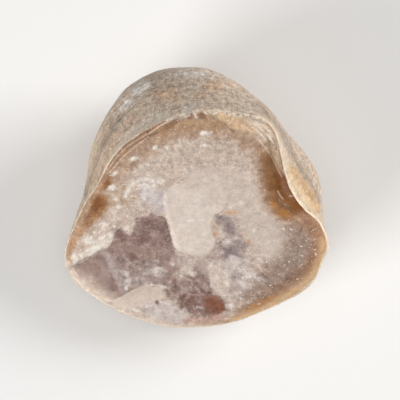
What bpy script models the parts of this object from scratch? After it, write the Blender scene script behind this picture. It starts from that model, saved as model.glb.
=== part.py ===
"""Flint nodule broken across: one solid stone that lies on a small flat spot.

The broken face looks up. It slopes from a low edge at -Y to a high edge at +Y. From its crest the rind
rounds over, reaches the girth, the stone's widest line, and goes in under the stone to the flat foot.
Plans and heights are in millimetres, and become metres when the mesh is made. The origin is on the
surface that the stone rests on, below the middle of its plan.
"""
import math

import bmesh
import bpy
import numpy as np

NAME = "flint_nodule"
METRES_PER_MM = 0.001

# Broken face: a plane through its middle, and how much it rises for each millimetre along X and Y
FACE_MIDDLE = (0.0, -4.0)
FACE_MIDDLE_HEIGHT = 26.5
RISE_ALONG_X = 0.14
RISE_ALONG_Y = 0.63

# Crest, the edge between the broken face and the rind, in plan, clockwise from its highest point
CREST = (
    (-2.1, 16.5), (3.5, 17.0), (8.4, 16.4), (12.3, 15.6), (14.4, 13.9), (15.8, 11.2), (16.5, 8.1),
    (17.3, 4.8), (18.8, 0.9), (21.2, -2.3), (23.8, -4.5), (25.3, -7.1), (25.9, -9.7), (24.9, -12.8),
    (23.5, -16.3), (20.8, -19.1), (14.5, -22.4), (8.0, -25.1), (0.6, -26.4), (-7.1, -26.0),
    (-14.4, -23.8), (-20.5, -20.5), (-25.2, -16.9), (-26.5, -12.0), (-25.4, -7.8), (-22.6, -1.9),
    (-19.5, 2.7), (-17.0, 7.2), (-14.2, 10.3), (-9.8, 13.2), (-6.0, 15.1),
)

# Girth, the widest line of the rind, in plan, clockwise from the right
GIRTH = (
    (25.4, -1.5), (24.5, 3.8), (21.9, 8.8), (17.1, 13.9), (12.8, 18.6), (8.1, 22.8), (2.7, 25.6),
    (-3.4, 26.1), (-8.9, 25.2), (-14.2, 22.0), (-17.9, 17.2), (-20.6, 11.5), (-22.0, 6.2), (-22.8, 0.6),
    (-24.5, -4.6), (-26.1, -8.9), (-26.5, -12.0), (-25.3, -17.0), (-20.6, -20.6), (-14.5, -23.9),
    (-7.1, -26.1), (0.6, -26.5), (8.0, -25.2), (14.6, -22.5), (20.9, -19.2), (23.6, -16.4),
    (25.0, -12.9), (26.0, -9.7), (25.4, -6.5),
)

# Values at 16 equal bearings around the face's middle, from +X through +Y: how far the girth lies below
# the face's plane at the crest, the slope at which the rind leaves the crest in degrees below level, how
# full it is below the girth, with 0.55 an oval, how far the crest is worn down, and the groove inside it
GIRTH_BELOW_FACE = (11.0, 13.7, 17.6, 18.8, 19.6, 18.6, 16.6, 13.0, 8.8, 5.4, 5.2, 3.8, 3.6, 3.9, 5.1, 6.6)
LEAVING_ANGLE = (70, 54, 70, 55, 38, 39, 44, 58, 72, 70, 68, 68, 68, 68, 68, 70)
FULLNESS_BELOW = (
    0.50, 0.52, 0.55, 0.57, 0.58, 0.57, 0.55, 0.52, 0.48, 0.44, 0.41, 0.39, 0.38, 0.39, 0.42, 0.46,
)
CREST_WEAR_DEPTH = (0.6, 0.2, 0.1, 0.3, 0.6, 0.6, 0.6, 0.6, 0.7, 1.0, 1.2, 1.2, 1.4, 1.7, 1.9, 1.5)
CREST_WEAR_WIDTH = (2.0, 1.0, 0.8, 1.0, 1.3, 1.3, 1.2, 1.2, 1.8, 2.6, 3.2, 3.2, 3.6, 4.2, 4.6, 3.6)
GROOVE_WIDTH = (1.6, 2.7, 3.3, 2.4, 1.0, 1.0, 1.0, 1.0, 1.0, 1.0, 1.0, 1.0, 1.0, 1.0, 1.0, 1.0)
GROOVE_DEPTH = (0.1, 0.4, 0.6, 0.3, 0.0, 0.0, 0.0, 0.0, 0.0, 0.0, 0.0, 0.0, 0.0, 0.0, 0.0, 0.0)

# Foot, the flat spot that the stone rests on: an oval in plan
FOOT_MIDDLE = (1.0, 1.5)
FOOT_RADII = (7.5, 6.0)

# How full the rind is between crest and girth, 0.55 being an oval
FULLNESS_ABOVE = 0.50

# Broad swells and hollows of the broken face: place in plan, radius, height
FACE_SWELLS = (
    ((8.0, -4.0), 8.0, 0.9),
    ((0.0, 8.5), 7.0, 0.5),
    ((-8.5, 1.0), 3.5, 0.5),
    ((-21.0, -9.0), 3.0, 0.7),
    ((19.0, -13.0), 4.5, 0.6),
    ((-8.5, -11.0), 5.5, -0.9),
    ((6.2, -10.5), 2.6, -0.6),
    ((16.0, 2.0), 3.5, -0.7),
    ((-1.0, -21.5), 4.0, -0.6),
    ((-18.0, -1.5), 2.5, -0.5),
)

# Ledges of the broken face, each with its low side on the right of its line: line, drop, reach of the drop
PALE_LEDGE = ((-6.3, 0.3), (-6.0, -3.5), (-5.2, -5.5), (-4.6, -9.3), (-3.8, -10.1), (-0.6, -11.3),
              (0.8, -11.5), (2.4, -10.7), (4.2, -9.3))
WHITE_LEDGE = ((-29.0, -16.2), (-23.3, -12.6), (-21.4, -11.8), (-19.6, -11.0), (-17.5, -10.0),
               (-16.9, -8.7), (-16.2, -6.5))
LOW_LEDGE = ((-18.5, -21.6), (-14.4, -20.0), (-11.0, -18.6), (-8.5, -18.1), (-5.9, -18.3), (-5.0, -19.4))
LEDGES = (
    (PALE_LEDGE, 0.6, 5.0),
    (WHITE_LEDGE, 0.8, 4.0),
    (LOW_LEDGE, 0.5, 6.0),
)
LEDGE_WIDTH = 1.8
LEDGE_END = 2.5

# Flake scar at the low left edge: beyond its ridge, on the right of the line, the face falls away
SCAR_RIDGE = ((-19.2, -11.2), (-18.0, -13.2), (-16.8, -15.5), (-16.0, -17.5), (-14.0, -22.5))
SCAR_FALL = 0.34

# Broad lumps and dents of the rind: bearing, way from crest (0) to foot (1), their two spreads, height
RIND_LUMPS = (
    (100, 0.20, 30, 0.10, 0.4),
    (205, 0.68, 24, 0.12, 0.6),
    (262, 0.66, 26, 0.12, -0.5),
    (318, 0.70, 22, 0.12, 0.6),
    (40, 0.74, 26, 0.12, -0.5),
    (120, 0.76, 24, 0.12, 0.6),
    (0, 0.72, 20, 0.12, 0.4),
)

# Mesh: segments around the stone, and rings on its parts
SEGMENTS = 96
FACE_RINGS = 16
EDGE_RINGS = 6
UPPER_RINGS = 9
LOWER_RINGS = 11
EDGE_BAND = 4.5
CURVE_STEPS = 24

# Look of the whole stone: the broken face's greyish pink beige
COLOUR = (0.42, 0.35, 0.31, 1.0)
ROUGHNESS = 0.5


def closed_curve(points):
    """Points along the smooth closed curve through the given points."""
    knots = np.array(points, float)
    count = len(knots)
    places = np.arange(count * CURVE_STEPS) / CURVE_STEPS
    first = np.floor(places).astype(int)
    part = (places - first)[:, None]
    return smooth_between([knots[(first + shift) % count] for shift in (-1, 0, 1, 2)], part)


def smooth_between(knots, part):
    """Catmull-Rom value between the two middle ones of four knots."""
    before, start, end, after = knots
    return start + 0.5 * part * (
        end - before
        + part * (2 * before - 5 * start + 4 * end - after)
        + part ** 2 * (3 * (start - end) + after - before)
    )


def reach(outline, bearings):
    """Distance from the face's middle to an outline on each bearing."""
    offsets = closed_curve(outline) - np.array(FACE_MIDDLE)
    turns = np.arctan2(offsets[:, 1], offsets[:, 0])
    order = np.argsort(turns)
    lengths = np.hypot(offsets[:, 0], offsets[:, 1])[order]
    return np.interp(bearings, turns[order], lengths, period=2 * math.pi)


def around(values, bearings):
    """Smooth run of values that are given at equal bearings."""
    knots = np.array(values, float)
    count = len(knots)
    places = (bearings / (2 * math.pi) % 1.0) * count
    first = np.floor(places).astype(int)
    return smooth_between([knots[(first + shift) % count] for shift in (-1, 0, 1, 2)], places - first)


def smooth_step(low, high, value):
    """0 below low, 1 above high, smooth between."""
    part = np.clip((value - low) / (high - low), 0.0, 1.0)
    return part * part * (3 - 2 * part)


def side_of(line, x, y):
    """Signed distance from an open line, positive on its right, and how far past its ends a point is."""
    nearest = np.full(x.shape, np.inf)
    signed = np.zeros(x.shape)
    past_end = np.zeros(x.shape)
    last = len(line) - 2
    for number, ((start_x, start_y), (end_x, end_y)) in enumerate(zip(line, line[1:])):
        along_x, along_y = end_x - start_x, end_y - start_y
        length = math.hypot(along_x, along_y)
        part = ((x - start_x) * along_x + (y - start_y) * along_y) / length ** 2
        held = np.clip(part, 0.0, 1.0)
        distance = np.hypot(x - start_x - held * along_x, y - start_y - held * along_y)
        right = (x - start_x) * along_y - (y - start_y) * along_x
        low_end = 0.0 if number == 0 else -np.inf
        high_end = 1.0 if number == last else np.inf
        overshoot = np.maximum(low_end - part, part - high_end) * length
        closer = distance < nearest
        nearest = np.where(closer, distance, nearest)
        signed = np.where(closer, np.copysign(distance, right), signed)
        past_end = np.where(closer, np.maximum(overshoot, 0.0), past_end)
    return signed, past_end


def ledge(line, drop, fade, x, y):
    """Drop on the right of a line, which fades away from the line and past its ends."""
    signed, past_end = side_of(line, x, y)
    low_side = smooth_step(-0.5 * LEDGE_WIDTH, 0.5 * LEDGE_WIDTH, signed)
    away = np.exp(-(np.maximum(signed, 0.0) / fade) ** 2)
    return -drop * low_side * away * (1 - smooth_step(0.0, LEDGE_END, past_end))


def flake_scar(x, y):
    """Fall of the face beyond the scar's ridge, as far as the white ledge."""
    beyond, _ = side_of(SCAR_RIDGE, x, y)
    below_ledge, _ = side_of(WHITE_LEDGE, x, y)
    return -SCAR_FALL * np.maximum(beyond, 0.0) * smooth_step(-0.8, 0.8, below_ledge)


def face_plane(x, y):
    """Height of the plane that the broken face follows."""
    return FACE_MIDDLE_HEIGHT + RISE_ALONG_X * (x - FACE_MIDDLE[0]) + RISE_ALONG_Y * (y - FACE_MIDDLE[1])


def face_height(x, y, inset, bearings):
    """Height of the broken face at plan places that lie the given distance inside the crest."""
    height = face_plane(x, y)
    for (middle_x, middle_y), radius, swell in FACE_SWELLS:
        height = height + swell * np.exp(-((x - middle_x) ** 2 + (y - middle_y) ** 2) / radius ** 2)
    for line, drop, fade in LEDGES:
        height = height + ledge(line, drop, fade, x, y)
    height = height + flake_scar(x, y)
    worn = np.clip(1 - inset / around(CREST_WEAR_WIDTH, bearings), 0.0, 1.0)
    in_groove = np.clip(inset / around(GROOVE_WIDTH, bearings), 0.0, 1.0)
    groove = np.maximum(around(GROOVE_DEPTH, bearings), 0.0) * np.sin(math.pi * in_groove) ** 2
    return height - around(CREST_WEAR_DEPTH, bearings) * worn ** 2 - groove


def face_rings(bearings):
    """Rings of the broken face, from near its middle out to the crest."""
    crest = reach(CREST, bearings)
    rings = []
    for share in np.arange(1, FACE_RINGS + 1) / FACE_RINGS:
        rings.append(share * (crest - EDGE_BAND))
    for share in np.arange(1, EDGE_RINGS + 1) / EDGE_RINGS:
        rings.append(crest - EDGE_BAND * (1 - share))
    shaped = []
    for distance in rings:
        x = FACE_MIDDLE[0] + distance * np.cos(bearings)
        y = FACE_MIDDLE[1] + distance * np.sin(bearings)
        shaped.append(np.stack([x, y, face_height(x, y, crest - distance, bearings)], axis=1))
    return shaped


def bezier(start, leaving, arriving, end, part):
    """Point on a cubic curve, for whole rings of ends and handles."""
    rest = 1 - part
    return (rest ** 3 * start + 3 * rest ** 2 * part * leaving
            + 3 * rest * part ** 2 * arriving + part ** 3 * end)


def rind_rings(crest_ring, bearings):
    """Rings of the rind, from just below the crest down to the foot."""
    outward = np.stack([np.cos(bearings), np.sin(bearings), np.zeros(len(bearings))], axis=1)
    up = np.array([0.0, 0.0, 1.0])
    girth_reach = reach(GIRTH, bearings)[:, None]
    girth = np.array([*FACE_MIDDLE, 0.0]) + outward * girth_reach
    girth[:, 2] = face_plane(crest_ring[:, 0], crest_ring[:, 1]) - around(GIRTH_BELOW_FACE, bearings)
    foot = np.array([*FOOT_MIDDLE, 0.0]) + outward * np.array([*FOOT_RADII, 0.0])
    angle = np.radians(around(LEAVING_ANGLE, bearings))[:, None]
    direction = outward * np.cos(angle) - up * np.sin(angle)
    fall = crest_ring[:, 2:] - girth[:, 2:]
    span = np.linalg.norm(girth - crest_ring, axis=1)[:, None]
    rings = []
    for part in np.arange(1, UPPER_RINGS + 1) / UPPER_RINGS:
        rings.append(bezier(crest_ring, crest_ring + FULLNESS_ABOVE * span * direction,
                            girth + FULLNESS_ABOVE * fall * up, girth, part))
    inward = np.linalg.norm((girth - foot)[:, :2], axis=1)[:, None]
    fullness = around(FULLNESS_BELOW, bearings)[:, None]
    for part in np.arange(1, LOWER_RINGS + 1) / LOWER_RINGS:
        rings.append(bezier(girth, girth - fullness * girth[:, 2:] * up,
                            foot + fullness * inward * outward, foot, part))
    return rings


def add_rind_lumps(rings, bearings):
    """Move the rind's rings in or out by its broad lumps and dents."""
    stack = np.array(rings)
    around_stone = np.roll(stack, -1, axis=1) - np.roll(stack, 1, axis=1)
    down_stone = np.gradient(stack, axis=0)
    normals = np.cross(down_stone, around_stone)
    normals /= np.linalg.norm(normals, axis=2)[..., None]
    way = (np.arange(len(rings)) + 1)[:, None] / len(rings)
    height = np.zeros(stack.shape[:2])
    for bearing, level, wide, deep, lump in RIND_LUMPS:
        turned = (np.degrees(bearings)[None, :] - bearing + 180) % 360 - 180
        height += lump * np.exp(-(turned / wide) ** 2 - ((way - level) / deep) ** 2)
    height *= np.sin(math.pi * way)
    return list(stack + height[..., None] * normals)


def stone_mesh():
    """Closed mesh of the stone: the face's middle, all rings, and the foot as one flat face."""
    bearings = np.arange(SEGMENTS) * 2 * math.pi / SEGMENTS
    face = face_rings(bearings)
    rings = face + add_rind_lumps(rind_rings(face[-1], bearings), bearings)
    middle = np.array([FACE_MIDDLE])
    top = face_height(middle[:, 0], middle[:, 1], np.array([EDGE_BAND * 2]), np.zeros(1))[0]

    points = np.array(rings)
    plan_middle = np.zeros(3)
    plan_middle[:2] = (points.min(axis=(0, 1)) + points.max(axis=(0, 1)))[:2] / 2

    shape = bmesh.new()
    apex = shape.verts.new((np.array([*FACE_MIDDLE, top]) - plan_middle) * METRES_PER_MM)
    corners = [[shape.verts.new((point - plan_middle) * METRES_PER_MM) for point in ring] for ring in rings]
    for number in range(SEGMENTS):
        following = (number + 1) % SEGMENTS
        shape.faces.new((apex, corners[0][number], corners[0][following]))
        for inner, outer in zip(corners, corners[1:]):
            shape.faces.new((inner[number], outer[number], outer[following], inner[following]))
    shape.faces.new(reversed(corners[-1]))
    mesh = bpy.data.meshes.new(NAME)
    shape.to_mesh(mesh)
    shape.free()
    mesh.shade_smooth()
    mesh.set_sharp_from_angle(angle=math.radians(50))
    return mesh


def flint():
    """Material of the stone."""
    material = bpy.data.materials.new("flint")
    material.use_nodes = True
    shader = material.node_tree.nodes["Principled BSDF"]
    shader.inputs["Base Color"].default_value = COLOUR
    shader.inputs["Roughness"].default_value = ROUGHNESS
    shader.inputs["Metallic"].default_value = 0.0
    return material


def main():
    for old in list(bpy.data.objects):
        bpy.data.objects.remove(old)
    stone = bpy.data.objects.new(NAME, stone_mesh())
    stone.data.materials.append(flint())
    bpy.context.scene.collection.objects.link(stone)


if __name__ == "__main__":
    main()
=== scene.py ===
"""Flint nodule broken across: its fine surface, its finish, and a plain studio stage.

The stone follows the same outlines and heights as its solid, in millimetres, on a much finer mesh, and
carries the finer lumps, ledges, pits and streaks. Patches of colour are marks: shapes laid out in the
photograph's 400 by 400 frame. How deep each point of the stone lies inside each mark is kept on the mesh,
for the material to read.
"""
import math
from collections import namedtuple

import bpy
import numpy as np
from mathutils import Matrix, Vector, noise


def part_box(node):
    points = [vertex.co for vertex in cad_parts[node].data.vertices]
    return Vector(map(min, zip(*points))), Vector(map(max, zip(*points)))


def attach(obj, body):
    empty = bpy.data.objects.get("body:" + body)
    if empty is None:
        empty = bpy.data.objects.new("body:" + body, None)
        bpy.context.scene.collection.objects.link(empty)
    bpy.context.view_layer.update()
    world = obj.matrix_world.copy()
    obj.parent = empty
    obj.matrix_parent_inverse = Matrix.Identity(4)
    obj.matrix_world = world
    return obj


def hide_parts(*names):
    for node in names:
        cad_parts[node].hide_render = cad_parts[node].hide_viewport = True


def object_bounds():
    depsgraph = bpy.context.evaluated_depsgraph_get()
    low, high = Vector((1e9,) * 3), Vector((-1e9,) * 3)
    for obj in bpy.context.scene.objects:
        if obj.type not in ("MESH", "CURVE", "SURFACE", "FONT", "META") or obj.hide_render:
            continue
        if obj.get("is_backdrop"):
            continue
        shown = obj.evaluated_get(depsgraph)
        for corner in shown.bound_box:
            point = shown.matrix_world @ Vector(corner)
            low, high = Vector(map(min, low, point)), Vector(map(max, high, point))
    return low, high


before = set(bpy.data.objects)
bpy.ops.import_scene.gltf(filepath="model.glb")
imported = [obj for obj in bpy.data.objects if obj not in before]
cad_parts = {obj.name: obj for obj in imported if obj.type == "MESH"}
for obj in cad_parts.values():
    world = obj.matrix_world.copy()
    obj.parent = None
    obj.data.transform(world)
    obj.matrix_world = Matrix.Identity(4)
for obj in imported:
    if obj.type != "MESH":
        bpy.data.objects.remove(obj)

bl_info = {
    "name": "Flint nodule",
    "version": (1, 0, 0),
    "blender": (4, 5, 0),
    "location": "View3D > Sidebar > Flint",
    "description": "A broken flint nodule with its rind, and a plain studio stage",
    "category": "Object",
}

NODE = "flint_nodule"
METRES_PER_MM = 0.001
MM_PER_METRE = 1000.0
SOLID_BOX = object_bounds()

# Broken face: a plane through its middle, and how much it rises for each millimetre along X and Y
FACE_MIDDLE = (0.0, -4.0)
FACE_MIDDLE_HEIGHT = 26.5
RISE_ALONG_X = 0.14
RISE_ALONG_Y = 0.63

# Crest, the edge between the broken face and the rind, in plan, clockwise from its highest point
CREST = (
    (-2.1, 16.5), (3.5, 17.0), (8.4, 16.4), (12.3, 15.6), (14.4, 13.9), (15.8, 11.2), (16.5, 8.1),
    (17.3, 4.8), (18.8, 0.9), (21.2, -2.3), (23.8, -4.5), (25.3, -7.1), (25.9, -9.7), (24.9, -12.8),
    (23.5, -16.3), (20.8, -19.1), (14.5, -22.4), (8.0, -25.1), (0.6, -26.4), (-7.1, -26.0),
    (-14.4, -23.8), (-20.5, -20.5), (-25.2, -16.9), (-26.5, -12.0), (-25.4, -7.8), (-22.6, -1.9),
    (-19.5, 2.7), (-17.0, 7.2), (-14.2, 10.3), (-9.8, 13.2), (-6.0, 15.1),
)

# Girth, the widest line of the rind, in plan, clockwise from the right
GIRTH = (
    (25.4, -1.5), (24.5, 3.8), (21.9, 8.8), (17.1, 13.9), (12.8, 18.6), (8.1, 22.8), (2.7, 25.6),
    (-3.4, 26.1), (-8.9, 25.2), (-14.2, 22.0), (-17.9, 17.2), (-20.6, 11.5), (-22.0, 6.2), (-22.8, 0.6),
    (-24.5, -4.6), (-26.1, -8.9), (-26.5, -12.0), (-25.3, -17.0), (-20.6, -20.6), (-14.5, -23.9),
    (-7.1, -26.1), (0.6, -26.5), (8.0, -25.2), (14.6, -22.5), (20.9, -19.2), (23.6, -16.4),
    (25.0, -12.9), (26.0, -9.7), (25.4, -6.5),
)

# Values at 16 equal bearings around the face's middle, from +X through +Y: how far the girth lies below
# the face's plane at the crest, the slope at which the rind leaves the crest in degrees below level, how
# full it is below the girth, with 0.55 an oval, how far the crest is worn down, and the groove inside it
GIRTH_BELOW_FACE = (11.0, 13.7, 17.6, 18.8, 19.6, 18.6, 16.6, 13.0, 8.8, 5.4, 5.2, 3.8, 3.6, 3.9, 5.1, 6.6)
LEAVING_ANGLE = (70, 54, 70, 55, 38, 39, 44, 58, 72, 70, 68, 68, 68, 68, 68, 70)
FULLNESS_BELOW = (
    0.50, 0.52, 0.55, 0.57, 0.58, 0.57, 0.55, 0.52, 0.48, 0.44, 0.41, 0.39, 0.38, 0.39, 0.42, 0.46,
)
CREST_WEAR_DEPTH = (0.6, 0.2, 0.1, 0.3, 0.6, 0.6, 0.6, 0.6, 0.7, 1.0, 1.2, 1.2, 1.4, 1.7, 1.9, 1.5)
CREST_WEAR_WIDTH = (2.0, 1.0, 0.8, 1.0, 1.3, 1.3, 1.2, 1.2, 1.8, 2.6, 3.2, 3.2, 3.6, 4.2, 4.6, 3.6)
GROOVE_WIDTH = (1.6, 2.7, 3.3, 2.4, 1.0, 1.0, 1.0, 1.0, 1.0, 1.0, 1.0, 1.0, 1.0, 1.0, 1.0, 1.0)
GROOVE_DEPTH = (0.1, 0.4, 0.6, 0.3, 0.0, 0.0, 0.0, 0.0, 0.0, 0.0, 0.0, 0.0, 0.0, 0.0, 0.0, 0.0)

# Foot, the flat spot that the stone rests on: an oval in plan
FOOT_MIDDLE = (1.0, 1.5)
FOOT_RADII = (7.5, 6.0)

# How full the rind is between crest and girth, 0.55 being an oval
FULLNESS_ABOVE = 0.50

# Broad swells and hollows of the broken face: place in plan, radius, height
FACE_SWELLS = (
    ((8.0, -4.0), 8.0, 0.9),
    ((0.0, 8.5), 7.0, 0.5),
    ((-8.5, 1.0), 3.5, 0.5),
    ((-21.0, -9.0), 3.0, 0.7),
    ((19.0, -13.0), 4.5, 0.6),
    ((-8.5, -11.0), 5.5, -0.9),
    ((6.2, -10.5), 2.6, -0.6),
    ((16.0, 2.0), 3.5, -0.7),
    ((-1.0, -21.5), 4.0, -0.6),
    ((-18.0, -1.5), 2.5, -0.5),
)

# Ledges of the broken face, each with its low side on the right of its line: line, drop, reach of the drop
PALE_LEDGE = ((-6.3, 0.3), (-6.0, -3.5), (-5.2, -5.5), (-4.6, -9.3), (-3.8, -10.1), (-0.6, -11.3),
              (0.8, -11.5), (2.4, -10.7), (4.2, -9.3))
WHITE_LEDGE = ((-29.0, -16.2), (-23.3, -12.6), (-21.4, -11.8), (-19.6, -11.0), (-17.5, -10.0),
               (-16.9, -8.7), (-16.2, -6.5))
LOW_LEDGE = ((-18.5, -21.6), (-14.4, -20.0), (-11.0, -18.6), (-8.5, -18.1), (-5.9, -18.3), (-5.0, -19.4))
LEDGES = (
    (PALE_LEDGE, 0.6, 5.0),
    (WHITE_LEDGE, 0.8, 4.0),
    (LOW_LEDGE, 0.5, 6.0),
)
LEDGE_WIDTH = 0.8
LEDGE_END = 2.5

# Flake scar at the low left edge: beyond its ridge, on the right of the line, the face falls away
SCAR_RIDGE = ((-19.2, -11.2), (-18.0, -13.2), (-16.8, -15.5), (-16.0, -17.5), (-14.0, -22.5))
SCAR_FALL = 0.34
SCAR_BLEND = 0.8

# Broad lumps and dents of the rind: bearing, way from crest (0) to foot (1), their two spreads, height. Then
# the share of that way that lies above the girth.
RIND_LUMPS = (
    (100, 0.20, 30, 0.10, 0.4),
    (205, 0.68, 24, 0.12, 0.6),
    (262, 0.66, 26, 0.12, -0.5),
    (318, 0.70, 22, 0.12, 0.6),
    (40, 0.74, 26, 0.12, -0.5),
    (120, 0.76, 24, 0.12, 0.6),
    (0, 0.72, 20, 0.12, 0.4),
)
UPPER_SHARE = 0.45

# Mesh: segments around the stone, and rings on its parts. The broken face's rings lie closer together
# outward, by a power, and finer still in a band of so many millimetres inside the crest.
SEGMENTS = 500
FACE_RINGS = 72
EDGE_RINGS = 28
UPPER_RINGS = 52
LOWER_RINGS = 44
RING_POWER = 0.85
EDGE_BAND = 4.5

# Steps between two points of a stone outline and of a mark's, and the radius in millimetres of the ring on
# which the rind's streaks are laid out
CURVE_STEPS = 24
MARK_STEPS = 4
RING_REACH = 20.0

# The fine mesh's relief, in millimetres: over what width the face gives way to the rind at the crest, and
# the size and height of the lumps and pits of each. An edge is the noise at which a chunk or a pit is none
# and full.
EDGE_BLEND = 0.3
MEDIUM_SIZE = 1.3
FACE_WAVE_SIZE = 4.0
FACE_WAVE_HEIGHT = 0.10
FACE_GRAIN_HEIGHTS = (0.02, 0.08)
CHUNK_SIZE = 0.9
CHUNK_HEIGHT = 0.12
CHUNK_EDGE = (0.02, 0.3)
RISE_WOBBLE = 0.2
RIND_WAVE_SIZE = 5.0
RIND_WAVE_HEIGHT = 0.12
RIND_GRAIN_SIZE = 1.2
RIND_GRAIN_HEIGHT = 0.05
PIT_SIZE = 1.7
PIT_DEPTH = 0.12
PIT_EDGE = (0.25, 0.6)
FOOT_FADE = 1.5

# The photograph: its frame in pixels, and the camera that stood above the stone, in millimetres. The middle
# of the stone's box lies a little way from the origin of the outlines.
FRAME_PIXELS = 400
MM_PER_PIXEL = 0.2
CAMERA_PLAN = (0.6, -0.5)
CAMERA_HEIGHT = 600.0
SHARP_HEIGHT = 24.0
SENSOR_WIDTH = 36.0
BOX_MIDDLE = (-0.2, -0.244)

# Lights: two soft squares low at the sides, each with its bearing from +X and elevation in degrees and its
# power in watts, and a larger one overhead; distances and sides in metres
SIDE_LIGHTS = (
    ("light_right", 22, 28, 6.0),
    ("light_left", 217, 30, 5.3),
)
SIDE_LIGHT_DISTANCE = 0.85
SIDE_LIGHT_SIZE = 0.45
TOP_LIGHT_HEIGHT = 1.0
TOP_LIGHT_SIZE = 0.60
TOP_LIGHT_POWER = 1.8


# Shapes shared by the stone's parts

def smooth_between(knots, part):
    """Catmull-Rom value between the two middle ones of four knots."""
    before, start, end, after = knots
    return start + 0.5 * part * (
        end - before
        + part * (2 * before - 5 * start + 4 * end - after)
        + part ** 2 * (3 * (start - end) + after - before)
    )


def closed_curve(points, steps=CURVE_STEPS):
    """Points along the smooth closed curve through the given points."""
    knots = np.array(points, float)
    count = len(knots)
    places = np.arange(count * steps) / steps
    first = np.floor(places).astype(int)
    part = (places - first)[:, None]
    return smooth_between([knots[(first + shift) % count] for shift in (-1, 0, 1, 2)], part)


def reach(outline, bearings):
    """Distance from the face's middle to an outline on each bearing."""
    offsets = closed_curve(outline) - np.array(FACE_MIDDLE)
    turns = np.arctan2(offsets[:, 1], offsets[:, 0])
    order = np.argsort(turns)
    lengths = np.hypot(offsets[:, 0], offsets[:, 1])[order]
    return np.interp(bearings, turns[order], lengths, period=2 * math.pi)


def around(values, bearings):
    """Smooth run of values that are given at equal bearings."""
    knots = np.array(values, float)
    count = len(knots)
    places = (bearings / (2 * math.pi) % 1.0) * count
    first = np.floor(places).astype(int)
    return smooth_between([knots[(first + shift) % count] for shift in (-1, 0, 1, 2)], places - first)


def smooth_step(low, high, value):
    """0 below low, 1 above high, smooth between."""
    part = np.clip((value - low) / (high - low), 0.0, 1.0)
    return part * part * (3 - 2 * part)


def side_of(line, x, y):
    """Signed distance from an open line, positive on its right, and how far past its ends a point is."""
    nearest = np.full(x.shape, np.inf)
    signed = np.zeros(x.shape)
    past_end = np.zeros(x.shape)
    last = len(line) - 2
    for number, ((start_x, start_y), (end_x, end_y)) in enumerate(zip(line, line[1:])):
        along_x, along_y = end_x - start_x, end_y - start_y
        length = math.hypot(along_x, along_y)
        part = ((x - start_x) * along_x + (y - start_y) * along_y) / length ** 2
        held = np.clip(part, 0.0, 1.0)
        distance = np.hypot(x - start_x - held * along_x, y - start_y - held * along_y)
        right = (x - start_x) * along_y - (y - start_y) * along_x
        low_end = 0.0 if number == 0 else -np.inf
        high_end = 1.0 if number == last else np.inf
        overshoot = np.maximum(low_end - part, part - high_end) * length
        closer = distance < nearest
        nearest = np.where(closer, distance, nearest)
        signed = np.where(closer, np.copysign(distance, right), signed)
        past_end = np.where(closer, np.maximum(overshoot, 0.0), past_end)
    return signed, past_end


def lumps(points, size, octaves, place):
    """Noise of about -1 to 1 on an array of points, in lumps of about the given size."""
    offset = np.array([place, 2 * place, 3 * place])
    flat = (points / size + offset).reshape(-1, 3)
    values = [noise.fractal(Vector(point), 1.0, 2.0, octaves) for point in flat]
    return np.array(values).reshape(points.shape[:-1])


# The stone's form

def ledge(line, drop, fade, x, y):
    """Drop on the right of a line, which fades away from the line and past its ends."""
    signed, past_end = side_of(line, x, y)
    low_side = smooth_step(-0.5 * LEDGE_WIDTH, 0.5 * LEDGE_WIDTH, signed)
    away = np.exp(-(np.maximum(signed, 0.0) / fade) ** 2)
    return -drop * low_side * away * (1 - smooth_step(0.0, LEDGE_END, past_end))


def flake_scar(x, y):
    """Fall of the face beyond the scar's ridge, as far as the white ledge."""
    beyond, _ = side_of(SCAR_RIDGE, x, y)
    below_ledge, _ = side_of(WHITE_LEDGE, x, y)
    return -SCAR_FALL * np.maximum(beyond, 0.0) * smooth_step(-SCAR_BLEND, SCAR_BLEND, below_ledge)


def face_plane(x, y):
    """Height of the plane that the broken face follows."""
    return FACE_MIDDLE_HEIGHT + RISE_ALONG_X * (x - FACE_MIDDLE[0]) + RISE_ALONG_Y * (y - FACE_MIDDLE[1])


def face_height(x, y, inset, bearings):
    """Height of the broken face at plan places that lie the given distance inside the crest."""
    height = face_plane(x, y)
    for (middle_x, middle_y), radius, swell in FACE_SWELLS:
        height = height + swell * np.exp(-((x - middle_x) ** 2 + (y - middle_y) ** 2) / radius ** 2)
    for line, drop, fade in LEDGES:
        height = height + ledge(line, drop, fade, x, y)
    height = height + flake_scar(x, y)
    worn = np.clip(1 - inset / around(CREST_WEAR_WIDTH, bearings), 0.0, 1.0)
    in_groove = np.clip(inset / around(GROOVE_WIDTH, bearings), 0.0, 1.0)
    groove = np.maximum(around(GROOVE_DEPTH, bearings), 0.0) * np.sin(math.pi * in_groove) ** 2
    return height - around(CREST_WEAR_DEPTH, bearings) * worn ** 2 - groove


def face_grid(bearings, crest):
    """Points of the broken face, ring by ring from near its middle to the crest, and their insets."""
    inner = (np.arange(1, FACE_RINGS + 1) / FACE_RINGS) ** RING_POWER
    distances = [share * (crest - EDGE_BAND) for share in inner]
    distances += [crest - EDGE_BAND * (1 - share) for share in np.arange(1, EDGE_RINGS + 1) / EDGE_RINGS]
    distances = np.array(distances)
    turns = np.broadcast_to(bearings, distances.shape)
    x = FACE_MIDDLE[0] + distances * np.cos(turns)
    y = FACE_MIDDLE[1] + distances * np.sin(turns)
    insets = crest - distances
    return np.stack([x, y, face_height(x, y, insets, turns)], axis=-1), insets


def bezier(start, leaving, arriving, end, part):
    """Point on a cubic curve, for whole rings of ends and handles."""
    rest = 1 - part
    return (rest ** 3 * start + 3 * rest ** 2 * part * leaving
            + 3 * rest * part ** 2 * arriving + part ** 3 * end)


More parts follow.
